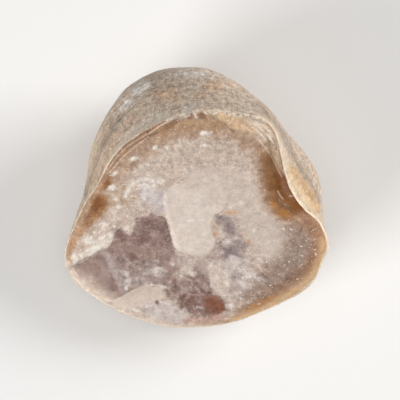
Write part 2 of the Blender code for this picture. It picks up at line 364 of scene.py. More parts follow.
def rind_grid(crest_ring, bearings):
    """Points of the rind, ring by ring from just below the crest down to the foot."""
    outward = np.stack([np.cos(bearings), np.sin(bearings), np.zeros(len(bearings))], axis=1)
    up = np.array([0.0, 0.0, 1.0])
    girth = np.array([*FACE_MIDDLE, 0.0]) + outward * reach(GIRTH, bearings)[:, None]
    girth[:, 2] = face_plane(crest_ring[:, 0], crest_ring[:, 1]) - around(GIRTH_BELOW_FACE, bearings)
    foot = np.array([*FOOT_MIDDLE, 0.0]) + outward * np.array([*FOOT_RADII, 0.0])
    angle = np.radians(around(LEAVING_ANGLE, bearings))[:, None]
    direction = outward * np.cos(angle) - up * np.sin(angle)
    fall = crest_ring[:, 2:] - girth[:, 2:]
    span = np.linalg.norm(girth - crest_ring, axis=1)[:, None]
    inward = np.linalg.norm((girth - foot)[:, :2], axis=1)[:, None]
    fullness = around(FULLNESS_BELOW, bearings)[:, None]
    upper = [
        bezier(crest_ring, crest_ring + FULLNESS_ABOVE * span * direction,
               girth + FULLNESS_ABOVE * fall * up, girth, part)
        for part in np.arange(1, UPPER_RINGS + 1) / UPPER_RINGS
    ]
    lower = [
        bezier(girth, girth - fullness * girth[:, 2:] * up,
               foot + fullness * inward * outward, foot, part)
        for part in np.arange(1, LOWER_RINGS + 1) / LOWER_RINGS
    ]
    return np.array(upper + lower)


def rind_way():
    """Share of the way from crest to foot at each ring of the rind."""
    upper = UPPER_SHARE * np.arange(1, UPPER_RINGS + 1) / UPPER_RINGS
    lower = UPPER_SHARE + (1 - UPPER_SHARE) * np.arange(1, LOWER_RINGS + 1) / LOWER_RINGS
    return np.concatenate([upper, lower])


def grid_normals(grid):
    """Outward unit normals of a grid of rings."""
    around_stone = np.roll(grid, -1, axis=1) - np.roll(grid, 1, axis=1)
    outward_or_down = np.gradient(grid, axis=0)
    normals = np.cross(outward_or_down, around_stone)
    return normals / np.maximum(np.linalg.norm(normals, axis=2)[..., None], 1e-9)


def broad_rind_lumps(bearings):
    """Height of the rind's broad lumps and dents on its grid."""
    way = rind_way()[:, None]
    height = np.zeros((len(way), len(bearings)))
    for bearing, level, wide, deep, lump in RIND_LUMPS:
        turned = (np.degrees(bearings)[None, :] - bearing + 180) % 360 - 180
        height += lump * np.exp(-(turned / wide) ** 2 - ((way - level) / deep) ** 2)
    return height * np.sin(math.pi * way)


# Colour marks. Each is mottled between two colours, and has an edge so many millimetres ragged and soft, a
# strength, and shapes in pixels of the photograph's frame. A field gives a place its amount of a quality.

Mark = namedtuple("Mark", "name colour second ragged soft strength shapes")
Field = namedtuple("Field", "amount soft shapes")


def area(*points):
    """Shape with a closed outline through the points."""
    return "area", points


def spot(x, y, radius_x, radius_y=None, turn=0.0):
    """Oval shape."""
    return "spot", (x, y, radius_x, radius_y or radius_x, turn)


def stroke(half_width, *points):
    """Line shape, in pixels to each side of an open line."""
    return "stroke", (half_width, points)


PALE_CORE = area((165, 196), (167, 215), (171, 225), (174, 243), (179, 250), (194, 255), (204, 255),
                 (214, 248), (216, 240), (212, 228), (215, 217), (226, 206), (228, 190), (208, 180),
                 (186, 182), (173, 187))
PALE_RIGHT = area((186, 172), (214, 168), (248, 174), (260, 194), (272, 214), (284, 236), (276, 256),
                  (254, 250), (238, 218), (218, 210), (204, 196), (190, 188))
WHITE_ZONE = area((73, 266), (80, 261), (90, 256), (100, 250), (109, 245), (112, 240), (116, 231),
                  (123, 226), (127, 233), (132, 231), (134, 222), (130, 214), (120, 210), (112, 212),
                  (104, 218), (96, 222), (90, 230), (84, 240), (78, 252))
LEFT_GRAIN = area((112, 190), (124, 178), (140, 176), (154, 186), (166, 200), (160, 212), (148, 216),
                  (136, 226), (124, 224), (112, 212))
PURPLE = area((74, 268), (85, 261), (98, 253), (107, 249), (113, 242), (116, 232), (121, 227), (125, 231),
              (129, 236), (133, 233), (135, 222), (139, 217), (146, 219), (151, 212), (155, 215), (160, 217),
              (166, 219), (169, 229), (172, 240), (174, 250), (172, 262), (173, 276), (170, 288), (160, 286),
              (146, 287), (134, 292), (122, 298), (110, 300), (96, 288), (82, 280))
TAN_PATCH = area((111, 302), (126, 296), (140, 288), (155, 287), (166, 288), (164, 295), (158, 302),
                 (146, 305), (130, 308), (118, 308))
LOW_PURPLE = area((166, 291), (175, 282), (187, 276), (200, 274), (209, 278), (212, 288), (218, 296),
                  (225, 302), (223, 311), (216, 317), (204, 320), (192, 317), (184, 311), (175, 302))
WHITE_CLOUD = area((226, 268), (238, 262), (252, 268), (256, 280), (246, 290), (236, 286), (229, 278))
RIGHT_GREY = area((284, 226), (300, 220), (318, 232), (321, 258), (312, 284), (288, 300), (262, 308),
                  (244, 300), (252, 276), (270, 262), (276, 244))
HONEY = area((262, 158), (267, 153), (275, 152), (288, 164), (298, 178), (306, 192), (313, 204), (305, 214),
             (297, 217), (289, 219), (282, 217), (275, 209), (269, 200), (265, 188), (262, 174))

FACE_MARKS = (
    Mark("top_brown", (178, 147, 122), (161, 128, 102), 1.4, 3.0, 0.9, (
        area((100, 182), (116, 158), (140, 134), (160, 117), (184, 104), (217, 110), (240, 122), (256, 134),
             (268, 150), (278, 172), (264, 172), (252, 158), (238, 146), (222, 139), (200, 137), (180, 141),
             (160, 150), (142, 162), (128, 174), (116, 192)),)),
    Mark("left_grain", (196, 175, 159), (177, 152, 136), 1.4, 1.6, 0.8, (LEFT_GRAIN,)),
    Mark("veil", (206, 193, 189), (189, 176, 174), 0.8, 1.4, 0.9, (
        area((142, 190), (150, 186), (158, 190), (168, 192), (170, 204), (164, 214), (156, 212), (150, 204),
             (144, 200)),)),
    Mark("white_zone", (203, 183, 168), (185, 161, 145), 0.35, 0.35, 0.95, (WHITE_ZONE,)),
    Mark("white_wedge", (228, 216, 203), (216, 200, 184), 0.5, 0.7, 0.85, (
        area((83, 251), (93, 245), (100, 237), (112, 232), (113, 240), (108, 246), (100, 250), (90, 256),
             (80, 260), (73, 264), (73, 259)), spot(88, 241, 3, 3), spot(73, 256, 3, 2.5))),
    # Painted shade: a tan-brown patch at the low end of the raised white zone
    Mark("white_shade", (186, 160, 138), (172, 145, 124), 0.5, 1.0, 0.85, (
        spot(81, 246, 4.2, 6, 20), spot(91, 232, 5, 3, -50))),
    Mark("mid_mauve", (179, 158, 148), (159, 136, 127), 1.4, 2.0, 0.85, (
        area((178, 254), (196, 259), (210, 256), (222, 246), (238, 254), (256, 262), (262, 276), (252, 294),
             (236, 300), (222, 300), (206, 292), (192, 292), (188, 270)),)),
    Mark("right_grey", (159, 134, 118), (139, 115, 100), 1.4, 2.6, 0.9, (RIGHT_GREY,)),
    Mark("purple", (158, 131, 120), (138, 110, 101), 0.35, 0.35, 0.97, (PURPLE,)),
    Mark("purple_dark", (132, 103, 94), (116, 88, 81), 1.1, 1.4, 0.8, (
        spot(121, 236, 5, 6), spot(152, 225, 13, 5, 8), spot(166, 238, 5, 12, -15), spot(128, 258, 9, 6),
        spot(143, 238, 8, 7), spot(173, 272, 3, 9), spot(104, 258, 8, 3, -30))),
    Mark("purple_side", (160, 134, 124), (144, 116, 106), 1.2, 1.4, 0.9, (
        area((168, 250), (178, 252), (182, 262), (179, 276), (176, 288), (166, 286)),)),
    Mark("grey_cloud", (173, 155, 147), (149, 128, 120), 1.4, 2.4, 0.7, (
        area((118, 266), (130, 268), (140, 266), (148, 259), (158, 264), (166, 272), (164, 284), (148, 285),
             (134, 290), (126, 292), (120, 280)),)),
    Mark("scar_dark", (146, 118, 107), (132, 104, 94), 0.8, 2.0, 0.8, (
        area((84, 266), (98, 258), (106, 262), (112, 274), (118, 286), (114, 292), (102, 284), (92, 276)),)),
    Mark("scar_cream", (211, 193, 177), (191, 167, 149), 0.6, 3.4, 0.95, (
        area((68, 272), (82, 276), (94, 282), (106, 292), (118, 300), (116, 310), (98, 302), (82, 294),
             (68, 284)),)),
    # Painted shade: thin dark lines where the face drops, at the pale core's left edge, at the white zone's
    # top and beside the flake scar's ridge
    Mark("dark_edges", (116, 88, 80), (104, 78, 71), 0.3, 0.6, 0.7, (
        stroke(1.0, (167, 221), (169, 231), (172, 243), (174, 250)), stroke(0.8, (116, 232), (121, 228)),
        stroke(1.4, (104, 256), (109, 268), (114, 280), (117, 290)), spot(113, 288, 4, 3))),
    # Painted highlight: a pale band along the flake scar's ridge
    Mark("scar_ridge", (182, 166, 159), (166, 150, 144), 0.2, 1.2, 0.85, (
        stroke(2.8, (105, 252), (112, 266), (119, 280), (126, 294)),)),
    Mark("low_grey", (204, 190, 184), (184, 166, 160), 1.0, 1.4, 0.9, (
        area((142, 308), (158, 302), (172, 304), (182, 311), (190, 319), (176, 323), (154, 320)),)),
    Mark("tan_patch", (209, 192, 178), (203, 184, 169), 0.25, 0.4, 0.95, (TAN_PATCH,)),
    Mark("patch_edge", (238, 218, 202), (226, 204, 188), 0.1, 0.4, 0.85, (
        stroke(0.8, (96, 296), (106, 300), (114, 301), (121, 298), (128, 294), (139, 288), (152, 285),
               (166, 287)),)),
    Mark("low_purple", (148, 121, 111), (126, 98, 89), 1.2, 2.4, 0.92, (LOW_PURPLE,)),
    Mark("low_dark", (128, 92, 80), (112, 78, 68), 0.9, 2.2, 0.85, (
        area((184, 293), (198, 287), (208, 288), (216, 296), (224, 302), (222, 311), (212, 316), (198, 312),
             (186, 304)),)),
    Mark("low_pink", (192, 154, 138), (178, 138, 122), 0.4, 1.2, 0.8, (
        stroke(3.0, (186, 321), (202, 321), (222, 317)),)),
    Mark("low_purple_edge", (112, 80, 70), (104, 70, 58), 0.3, 1.0, 0.7, (
        stroke(1.6, (203, 290), (210, 294), (216, 298), (221, 303)),)),
    Mark("red_spot", (137, 80, 50), (120, 66, 40), 0.4, 2.0, 0.95, (
        area((207, 297), (215, 296), (221, 299), (227, 304), (225, 311), (218, 314), (210, 311),
             (205, 303)),)),
    Mark("lower_pale", (211, 192, 178), (200, 180, 165), 0.7, 0.9, 0.9, (
        area((208, 266), (216, 264), (224, 268), (231, 275), (232, 286), (226, 296), (218, 294), (212, 286),
             (210, 276)),)),
    Mark("white_cloud", (212, 196, 187), (180, 160, 150), 1.4, 1.6, 0.8, (WHITE_CLOUD,)),
    Mark("left_tan", (188, 160, 136), (172, 144, 118), 0.6, 1.4, 0.8, (
        area((110, 186), (124, 184), (134, 190), (136, 200), (128, 206), (116, 206), (108, 214), (104, 220),
             (108, 204)),)),
    Mark("pale_core", (219, 204, 192), (210, 193, 181), 0.7, 0.8, 0.95, (PALE_CORE,)),
    Mark("veil_lines", (234, 224, 214), (220, 207, 197), 0.4, 0.7, 0.9, (
        stroke(1.8, (126, 196), (129, 189), (134, 183), (141, 179.5), (147, 179), (152, 181)),
        stroke(1.3, (139, 186), (145, 184), (150, 187)), stroke(1.3, (154, 186), (158, 182), (163, 181)),
        spot(116, 199, 2.4, 1.8), spot(119, 207, 2, 2), stroke(0.35, (195, 309), (198, 307), (202, 308)))),
    # Painted highlight: a bright line along the pale core's raised left edge
    Mark("core_edge", (240, 228, 216), (220, 204, 190), 0.9, 0.5, 0.8, (
        stroke(1.6, (168, 216), (172, 228), (175, 240), (180, 249)), spot(181, 226, 3, 2))),
    Mark("pale_right", (209, 192, 180), (198, 180, 167), 1.4, 3.4, 0.9, (PALE_RIGHT,)),
    Mark("grey_spot", (176, 158, 151), (152, 132, 128), 1.0, 1.6, 0.85, (
        area((218, 216), (226, 213), (236, 222), (244, 238), (247, 252), (238, 261), (228, 260), (222, 248),
             (223, 232)),)),
    Mark("spot_white", (222, 211, 204), (200, 187, 181), 0.9, 0.8, 0.75, (
        spot(221, 233, 1.6, 4), spot(228, 242, 4, 3), spot(236, 238, 2, 1.4))),
    Mark("dark_clouds", (138, 120, 117), (120, 103, 101), 0.8, 2.2, 0.8, (
        spot(223, 220, 6, 4, 30), spot(229, 228, 4, 5), spot(231, 253, 7, 8, 15), spot(241, 247, 5, 4),
        spot(235, 280, 2.6, 6))),
    Mark("dark_right", (126, 101, 92), (112, 86, 76), 0.6, 2.0, 0.85, (
        spot(288, 279, 6, 5, -30), spot(280, 286, 6, 3, -30))),
    Mark("orange_bits", (196, 150, 110), (180, 124, 80), 0.12, 0.7, 0.85, (
        spot(231, 212.3, 7.5, 1.9), spot(215.6, 233.5, 1.5, 2.6), spot(248, 241.5, 3, 1.4, 20))),
    Mark("orange_halo", (205, 170, 147), (196, 158, 133), 0.3, 1.0, 0.6, (
        stroke(1.4, (212, 222), (214, 230), (218, 237)), spot(244, 233, 2, 2), spot(257, 265, 4, 6))),
)

AMBER_MARKS = (
    Mark("amber_far", (176, 140, 110), (160, 123, 92), 0.5, 3.2, 0.85, (
        area((257, 157), (264, 147), (282, 160), (300, 190), (312, 206), (324, 222), (318, 230), (302, 224),
             (290, 224), (281, 221), (270, 213), (262, 198)),)),
    Mark("honey", (140, 99, 60), (122, 81, 44), 0.3, 2.4, 0.95, (HONEY,)),
    Mark("honey_dark", (130, 78, 24), (110, 60, 12), 0.3, 2.2, 0.92, (
        area((275, 178), (282, 170), (296, 178), (306, 192), (314, 206), (306, 214), (292, 211), (282, 201),
             (275, 189)),)),
    Mark("rim_red", (172, 130, 100), (154, 113, 86), 0.5, 2.2, 0.9, (
        area((298, 214), (308, 213), (316, 224), (323, 240), (324, 254), (318, 268), (312, 266), (314, 248),
             (308, 234), (301, 224)),)),
    Mark("rim_umber", (177, 142, 107), (162, 125, 90), 0.8, 2.2, 0.85, (
        area((152, 133), (164, 124), (180, 119), (198, 118), (214, 118), (224, 124), (214, 130), (192, 130),
             (172, 134), (158, 140)),)),
    Mark("honey_left", (166, 120, 74), (148, 101, 57), 0.4, 1.3, 0.9, (
        spot(107, 183, 5, 7, 20), spot(87, 225, 5, 9, 35),
        area((94, 196), (106, 194), (109, 204), (104, 214), (96, 222), (88, 230), (80, 238), (74, 250),
             (69, 258), (70, 244), (79, 228), (87, 214)))),
    Mark("glow_left", (190, 144, 93), (174, 125, 74), 0.15, 0.6, 0.85, (
        stroke(1.0, (71, 264), (70, 252), (75, 241), (80, 228), (87, 215), (95, 198), (103, 184)),)),
    Mark("honey_left_dark", (136, 84, 40), (120, 70, 30), 0.3, 2.0, 0.95, (
        spot(98, 204, 6, 8, 30), spot(89, 216, 3, 6, 35), spot(107, 181, 3, 5, 22))),
    Mark("rim_brown", (158, 118, 88), (142, 103, 76), 0.5, 2.6, 0.85, (
        stroke(4.0, (240, 312), (250, 306), (262, 300), (274, 293), (286, 285), (298, 276), (307, 267),
               (313, 256), (315, 246)),)),
    Mark("rim_orange", (222, 183, 139), (212, 171, 124), 0.2, 2.2, 0.9, (
        stroke(3.2, (234, 321), (250, 314.5), (262, 309.5), (275, 303), (288, 295.5), (301, 287), (312, 277),
               (320, 265), (323, 251), (323, 241)),)),
    Mark("rim_pale", (228, 211, 195), (216, 197, 179), 0.2, 1.2, 0.9, (
        stroke(2.2, (68, 264), (71, 274), (84, 288), (104, 303), (126, 315), (150, 323), (180, 328),
               (208, 328), (228, 326)),)),
    Mark("amber_glow", (187, 131, 68), (172, 114, 50), 0.2, 1.3, 0.8, (
        spot(285, 214, 7, 3.2, 25), spot(275, 206, 2.4, 5, -35),
        stroke(1.6, (246, 310), (256, 306), (266, 301), (275, 296)))),
    Mark("rim_line", (226, 206, 184), (214, 190, 164), 0.05, 0.4, 0.8, (
        stroke(0.7, (234, 325), (254, 318), (281, 305), (300, 292), (312, 281)),
        stroke(0.4, (278, 191), (280, 195), (283, 199)), spot(291, 196, 1.4, 0.6))),
)

RIM_MARKS = (
    Mark("facet", (196, 160, 126), (210, 179, 145), 0.3, 1.4, 0.9, (
        area((222, 115), (232, 115), (243, 118), (252, 124), (260, 134), (252, 134), (242, 132),
             (230, 127)),)),
    Mark("facet_cream", (208, 180, 146), (196, 165, 129), 0.3, 0.8, 0.85, (
        area((214, 112), (222, 110), (234, 113), (240, 118), (232, 120), (222, 120), (216, 118)),
        spot(244, 124, 6, 2, 35))),
    Mark("strip", (240, 220, 196), (190, 168, 147), 0.2, 0.5, 0.9, (
        area((246, 120), (258, 121), (268, 127), (274, 136), (275, 146), (270, 146), (262, 137),
             (254, 129)),)),
    Mark("strip_low", (184, 156, 128), (160, 132, 106), 0.2, 0.6, 0.9, (
        area((266, 142), (271, 141), (276, 146), (280, 158), (285, 174), (281, 171), (274, 159),
             (268, 151)),)),
    Mark("bevel", (160, 123, 90), (124, 86, 56), 0.3, 0.6, 0.9, (
        area((104, 172), (112, 158), (125, 143), (143, 132), (153, 128), (164, 121), (176, 117), (178, 124),
             (166, 130), (154, 134), (145, 140), (134, 147), (123, 157), (112, 170)),)),
    Mark("notch", (142, 104, 70), (118, 84, 56), 0.3, 0.5, 0.9, (
        area((184, 119), (188, 113), (192, 112), (193, 118)), spot(202, 116, 4.6, 3.2),
        spot(170, 124, 7, 2.4, -14))),
    Mark("white_chips", (238, 230, 221), (224, 212, 200), 0.5, 0.6, 0.8, (
        spot(155, 148, 2.2, 2), spot(167, 148, 2.6, 2), spot(133, 159, 4, 1.6, -20),
        spot(115, 173, 3, 1.6, -30), spot(206, 133.5, 5, 2.6), spot(205, 145.5, 3, 1),
        spot(147, 165, 2, 1.2), spot(112, 188, 3.4, 2, -20), spot(135, 310, 4, 1.6, 20),
        spot(146, 306, 2, 1.2), spot(192, 220, 2.5, 1), spot(180, 143, 1.2, 2.4), spot(126, 288, 1.4, 1.4),
        spot(74, 257, 3, 2, -30), spot(223, 201, 2, 0.8), spot(230, 306, 2.6, 1.6), spot(249, 302.5, 2, 1),
        spot(254, 231, 1.4, 1.6), spot(241, 203, 1.2, 1.2), stroke(0.6, (193, 111), (195, 114), (197, 118)),
        stroke(0.5, (198, 112), (203, 111), (208, 114)))),
    Mark("bright_line", (222, 196, 168), (210, 180, 150), 0.05, 0.25, 0.9, (
        stroke(0.5, (110, 172.5), (122.5, 157.5), (134, 147.5), (146, 138.5)),
        stroke(0.3, (107, 171), (117, 157), (128, 146), (141, 138), (152, 132)),
        stroke(0.6, (150, 133), (160, 126), (170, 121), (176, 117)),
        stroke(0.7, (240, 124), (247, 128), (253, 133.5), (260, 141), (266, 149)),
        stroke(0.35, (266, 149), (271, 156), (277, 167), (282, 177)))),
    Mark("dark_line", (100, 78, 62), (88, 68, 55), 0.1, 0.4, 0.85, (
        spot(157, 302.5, 1.9, 2.1), stroke(0.4, (224, 122.5), (229, 128), (236, 132)),
        stroke(0.5, (267, 136), (271, 144)), stroke(0.8, (273, 138), (275.5, 143), (277, 149)),
        stroke(0.5, (148, 137), (158, 132)))),
    # Painted shadow: a dark line under the white zone's ledge, on the purple facet below it
    Mark("ledge_line", (126, 102, 94), (108, 86, 78), 0.3, 0.5, 0.75, (
        stroke(0.6, (74, 266), (82, 261), (92, 256), (100, 251), (106, 249)),)),
)

# Where the rind's colours come over the crest on to the edge of the face
RIND_OVER = area((160, 118), (176, 108), (196, 104), (216, 103), (240, 106), (262, 112), (272, 122),
                 (262, 123), (252, 120), (243, 118), (234, 117), (226, 114), (219, 112), (214, 116),
                 (208, 112), (202, 111), (197, 113), (193, 111), (188, 118), (180, 119), (172, 120),
                 (166, 121))

RIND_MARKS = (
    Mark("rind_halo", (202, 189, 173), (188, 173, 156), 0.6, 1.4, 0.85, (
        area((106, 160), (118, 142), (134, 126), (152, 114), (168, 110), (164, 121), (146, 130), (130, 143),
             (116, 158), (104, 174)),)),
    Mark("rind_tint", (206, 170, 138), (186, 152, 122), 1.4, 1.8, 0.7, (
        spot(166, 94, 12, 6), spot(214, 86, 9, 5))),
    # Painted highlight: bluish-white sheen on the upper left of the rind and near its top
    Mark("rind_blue", (240, 232, 224), (212, 202, 194), 1.2, 1.6, 0.85, (
        spot(140, 89, 10, 6, -35), spot(196, 74, 16, 3), spot(126, 104, 6, 4, -50))),
    Mark("flank_orange", (192, 160, 128), (176, 144, 114), 0.5, 1.2, 0.75, (
        stroke(2.0, (88, 196), (92, 182), (98, 160), (105, 138), (112, 120)),
        stroke(1.2, (99, 180), (106, 162), (114, 146)))),
    Mark("flank_grey", (144, 130, 118), (129, 115, 104), 0.5, 1.2, 0.75, (
        stroke(2.0, (86, 194), (94, 172), (101, 151), (110, 133), (120, 119)),
        stroke(0.8, (96, 190), (104, 168)))),
    Mark("flank_cream", (218, 195, 165), (204, 179, 149), 0.2, 0.5, 0.7, (
        stroke(1.2, (85, 184), (88, 168), (92, 152), (98, 136), (106, 121), (114, 108)),
        stroke(0.9, (92, 204), (100, 182), (110, 160), (122, 140)),
        stroke(0.7, (88, 196), (95, 172), (104, 150)))),
    Mark("over_cream", (224, 206, 182), (209, 190, 166), 0.3, 1.1, 0.85, (
        spot(228, 114, 13, 3, 8), stroke(1.4, (271, 125), (277, 134), (282, 148), (286, 162), (290, 174)))),
    Mark("right_grey_streak", (152, 134, 117), (134, 117, 101), 0.5, 1.6, 0.75, (
        stroke(2.6, (250, 101), (262, 108), (272, 118), (281, 131), (291, 150), (299, 164), (306, 175)),
        stroke(1.6, (306, 176), (313, 188), (318, 202)))),
    Mark("right_base", (208, 187, 158), (196, 173, 144), 0.3, 1.2, 0.85, (
        area((284, 150), (291, 160), (301, 176), (314, 198), (322, 218), (312, 212), (300, 198),
             (289, 180)),)),
    Mark("right_orange", (200, 162, 118), (186, 145, 100), 0.5, 1.5, 0.85, (
        stroke(3.2, (293, 170), (301, 182), (310, 195), (317, 208)),)),
    Mark("right_cream", (223, 194, 157), (210, 179, 141), 0.15, 1.1, 0.85, (
        stroke(2.3, (290, 175), (297, 187), (306, 199), (315, 210)),)),
)

# White flecks, grain and lumps of the face, by place, over a share that holds everywhere
SCAR = area((72, 268), (84, 262), (103, 253), (112, 266), (120, 284), (126, 298), (112, 300), (92, 290),
            (76, 280))
FLECKS = (
    Field(0.22, 1.0, (PURPLE, LOW_PURPLE)),
    Field(0.05, 0.8, (SCAR,)),
    Field(0.6, 1.0, (WHITE_ZONE,)),
    Field(0.75, 1.0, (WHITE_CLOUD, stroke(6.0, (268, 266), (276, 276)))),
    Field(0.6, 1.6, (LEFT_GRAIN, stroke(4.0, (128, 192), (132, 184), (144, 178), (152, 180), (168, 184)))),
    Field(0.55, 1.6, (stroke(4.0, (112, 186), (118, 212), (110, 222)),)),
    Field(0.85, 1.2, (stroke(2.4, (168, 212), (173, 230), (178, 246)),)),
    Field(0.55, 1.4, (RIGHT_GREY, stroke(5.0, (224, 262), (246, 292), (232, 304)), spot(138, 310, 8, 4))),
    Field(0.1, 0.8, (spot(106, 182, 5, 7), spot(100, 204, 6, 9), HONEY, spot(214, 304, 9, 8),
                     stroke(4.0, (69, 264), (84, 288), (104, 303), (126, 315), (150, 323), (208, 329)))),
    Field(0.0, 0.6, (TAN_PATCH,)),
    Field(0.15, 0.6, (PALE_CORE,)),
)
FLECKS_ELSEWHERE = 0.34
WISPS = (
    Field(0.8, 2.0, (area((124, 258), (150, 254), (176, 262), (196, 262), (206, 292), (190, 292), (160, 292),
                          (130, 296), (120, 280)), WHITE_CLOUD,
                     area((210, 258), (240, 240), (262, 262), (262, 296), (236, 304), (214, 296)))),
    Field(0.3, 1.5, (LOW_PURPLE,)),
    Field(0.0, 1.5, (spot(214, 304, 9, 8),)),
    Field(0.8, 1.5, (area((134, 184), (158, 180), (172, 188), (170, 204), (150, 212), (136, 202)),
                     area((146, 304), (180, 304), (190, 322), (150, 320)))),
    Field(0.0, 0.6, (PALE_CORE, TAN_PATCH)),
)
WISPS_ELSEWHERE = 0.1
LUMPS = (
    Field(1.0, 1.0, (WHITE_ZONE,)),
    Field(0.3, 1.6, (LEFT_GRAIN, WHITE_CLOUD, stroke(6.0, (184, 262), (190, 280), (214, 290)))),
    Field(0.0, 1.0, (spot(79, 246, 6, 8, 20), spot(88, 228, 6, 7, 40))),
)

# Patches of the face that stand a little above, or below, what is round them, in millimetres
RISES = (
    (0.16, PALE_CORE),
    (-0.14, TAN_PATCH),
    (-0.12, LOW_PURPLE),
    (0.10, WHITE_ZONE),
)
RISE_WIDTH = 0.3
GRAINS = (
    Field(0.6, 1.4, (area((178, 254), (210, 256), (238, 254), (262, 276), (252, 294), (222, 300),
                          (192, 292)),)),
    Field(0.9, 1.0, (PURPLE, LOW_PURPLE)),
    Field(0.55, 1.0, (WHITE_CLOUD,)),
    Field(0.5, 0.8, (SCAR,)),
    Field(0.6, 1.0, (LEFT_GRAIN,)),
    Field(0.8, 1.0, (RIGHT_GREY,)),
    Field(0.4, 1.0, (WHITE_ZONE,)),
    Field(0.42, 1.0, (PALE_RIGHT, HONEY)),
    Field(0.28, 0.6, (PALE_CORE, TAN_PATCH)),
    Field(0.35, 1.2, (stroke(5.0, (236, 319), (250, 313), (262, 308), (275, 301), (288, 293), (301, 284),
                             (312, 274), (319, 262), (322, 241)),)),
    Field(0.4, 1.0, (area((142, 190), (158, 188), (168, 192), (170, 204), (164, 214), (154, 210),
                          (144, 200)),
                     area((150, 308), (166, 304), (182, 311), (190, 319), (176, 324), (154, 321)))),
)
GRAIN_ELSEWHERE = 0.8

# How speckled the rind is, by place
RIND_SPECKS = (
    Field(0.2, 2.0, (stroke(7.0, (84, 208), (92, 182), (98, 160), (105, 138)),)),
    Field(0.3, 2.0, (area((262, 110), (276, 118), (290, 138), (304, 165), (318, 195), (323, 218), (304, 206),
                          (290, 186), (280, 150)),)),
    Field(0.25, 1.4, (stroke(5.0, (104, 170), (121, 146), (145, 128), (166, 117)),)),
    Field(0.1, 1.0, (stroke(3.0, (258, 112), (268, 121), (276, 132), (281, 148), (285, 162), (289, 175),
                            (297, 190), (306, 203), (320, 220)),)),
    Field(0.15, 1.0, (stroke(5.0, (66, 258), (72, 280), (86, 295), (112, 311), (150, 325), (180, 330),
                             (210, 330), (238, 324), (264, 312), (290, 299), (308, 287), (322, 268),
                             (327, 248), (324, 226)),)),
)

# Colours, as 8-bit screen values
HEART = (201, 182, 167)
HEART_SECOND = (188, 167, 151)
FLECK = (248, 240, 230)
WISP = (222, 211, 204)
RIM_BROWN = (179, 138, 103)
RIM_DARK = (160, 118, 84)
RIND = (198, 178, 158)
RIND_SECOND = (180, 161, 143)
RIND_CREAM = (233, 214, 189)
RIND_ORANGE = (204, 172, 142)
RIND_BLUE = (198, 187, 178)
RIND_DARK = (108, 92, 79)
RIND_PALE = (232, 220, 204)

# Noise patterns of the finish: scale to the millimetre, detail, roughness, and the noise at which each is
# none and full. The stretched ones scale each direction of the rind's rings instead.
Pattern = namedtuple("Pattern", "scale detail roughness none full")
FACE_MOTTLE = Pattern(0.6, 5.0, 0.7, 0.38, 0.62)
WISP_CLOUDS = Pattern(0.45, 3.0, 0.5, 0.46, 0.70)
WISP_DISTORTION = 0.2
RIM_STREAKS = Pattern(1.0, 3.0, 0.6, 0.36, 0.64)
RIM_STRETCH = (0.3, 0.3, 2.8)
RIND_STREAKS = Pattern(1.0, 4.0, 0.65, 0.36, 0.64)
RIND_STRETCH = (0.14, 0.14, 1.5)
LOW_RIND_MOTTLE = Pattern(0.35, 4.0, 0.65, 0.36, 0.64)
ORANGE_CLOUDS = Pattern(0.14, 3.0, 0.6, 0.5, 0.66)
BLUE_CLOUDS = Pattern(0.22, 3.0, 0.6, 0.56, 0.68)
FISSURES = Pattern(1.0, 3.0, 0.6, 0.40, 0.34)
FISSURE_STRETCH = (0.45, 0.45, 2.6)
PORES = Pattern(2.2, 4.0, 0.75, 0.40, 0.34)
PALE_PORES = Pattern(2.0, 4.0, 0.75, 0.58, 0.66)
CALM_CLOUDS = Pattern(0.12, 2.0, 0.5, 0.4, 0.6)
CALM_SHARE = 0.55

# Flecks of the face: their noise, its threshold where they are fewest and most, and how far past it a fleck
# is full. Then the scale, size and share of the face's dots and of the rind's painted pits.
FLECK_NOISE = (1.3, 4.0, 0.65)
FLECK_THRESHOLDS = (0.72, 0.52)
FLECK_SOFT = 0.08
DOT_SCALE = 1.7
DOT_SIZE = 0.34
DOT_SHARE = 0.7
PIT_SCALE = 1.9
PIT_RADIUS = 0.32
PIT_SHARE = 0.35

# Grain: share of its scale and weight between fine and coarse, its scale on the face and on the rind, and
# the least share of its contrast that the rind keeps
COARSE_GRAIN_SCALE = 0.35
FINE_GRAIN_WEIGHT = 0.45
FACE_GRAIN_SCALE = 2.6
RIND_GRAIN_SCALE = 3.0
CALM_RIND_GRAIN = 0.4

# How strongly each layer lies over those below it
WISP_STRENGTH = 0.7
RIM_STRENGTH = 0.85
FLECK_STRENGTH = 0.75
CHUNK_STRENGTH = 0.6
DOT_STRENGTH = 0.45
ORANGE_STRENGTH = 0.4
BLUE_STRENGTH = 0.5
DARK_STRENGTH = 0.6
PALE_STRENGTH = 0.6

# How ragged and soft the brown and cream rims are, and how far, in millimetres below and above the girth,
# the rind's streaks give way to plain mottle
RIM_RAGGED = 0.5
BROWN_RIM_SOFT = 1.8
CREAM_RIM_SOFT = 0.8
STREAKS_FADE = (-6.0, 4.0)

# The wobble that makes edges ragged: its noise and reach, how much of it moves the crest and the rind's
# overlap, and how soft their edge is, in millimetres
WOBBLE_NOISE = (0.6, 5.0, 0.7)
WOBBLE_REACH = 4.0
CREST_WOBBLE = 0.15
OVERLAP_WOBBLE = 0.25
CREST_SOFT = 0.1

# Bump of the finest grain
BUMP_NOISE = (2.4, 3.0, 0.7)
BUMP_STRENGTH = 0.6
BUMP_RISE = 0.5

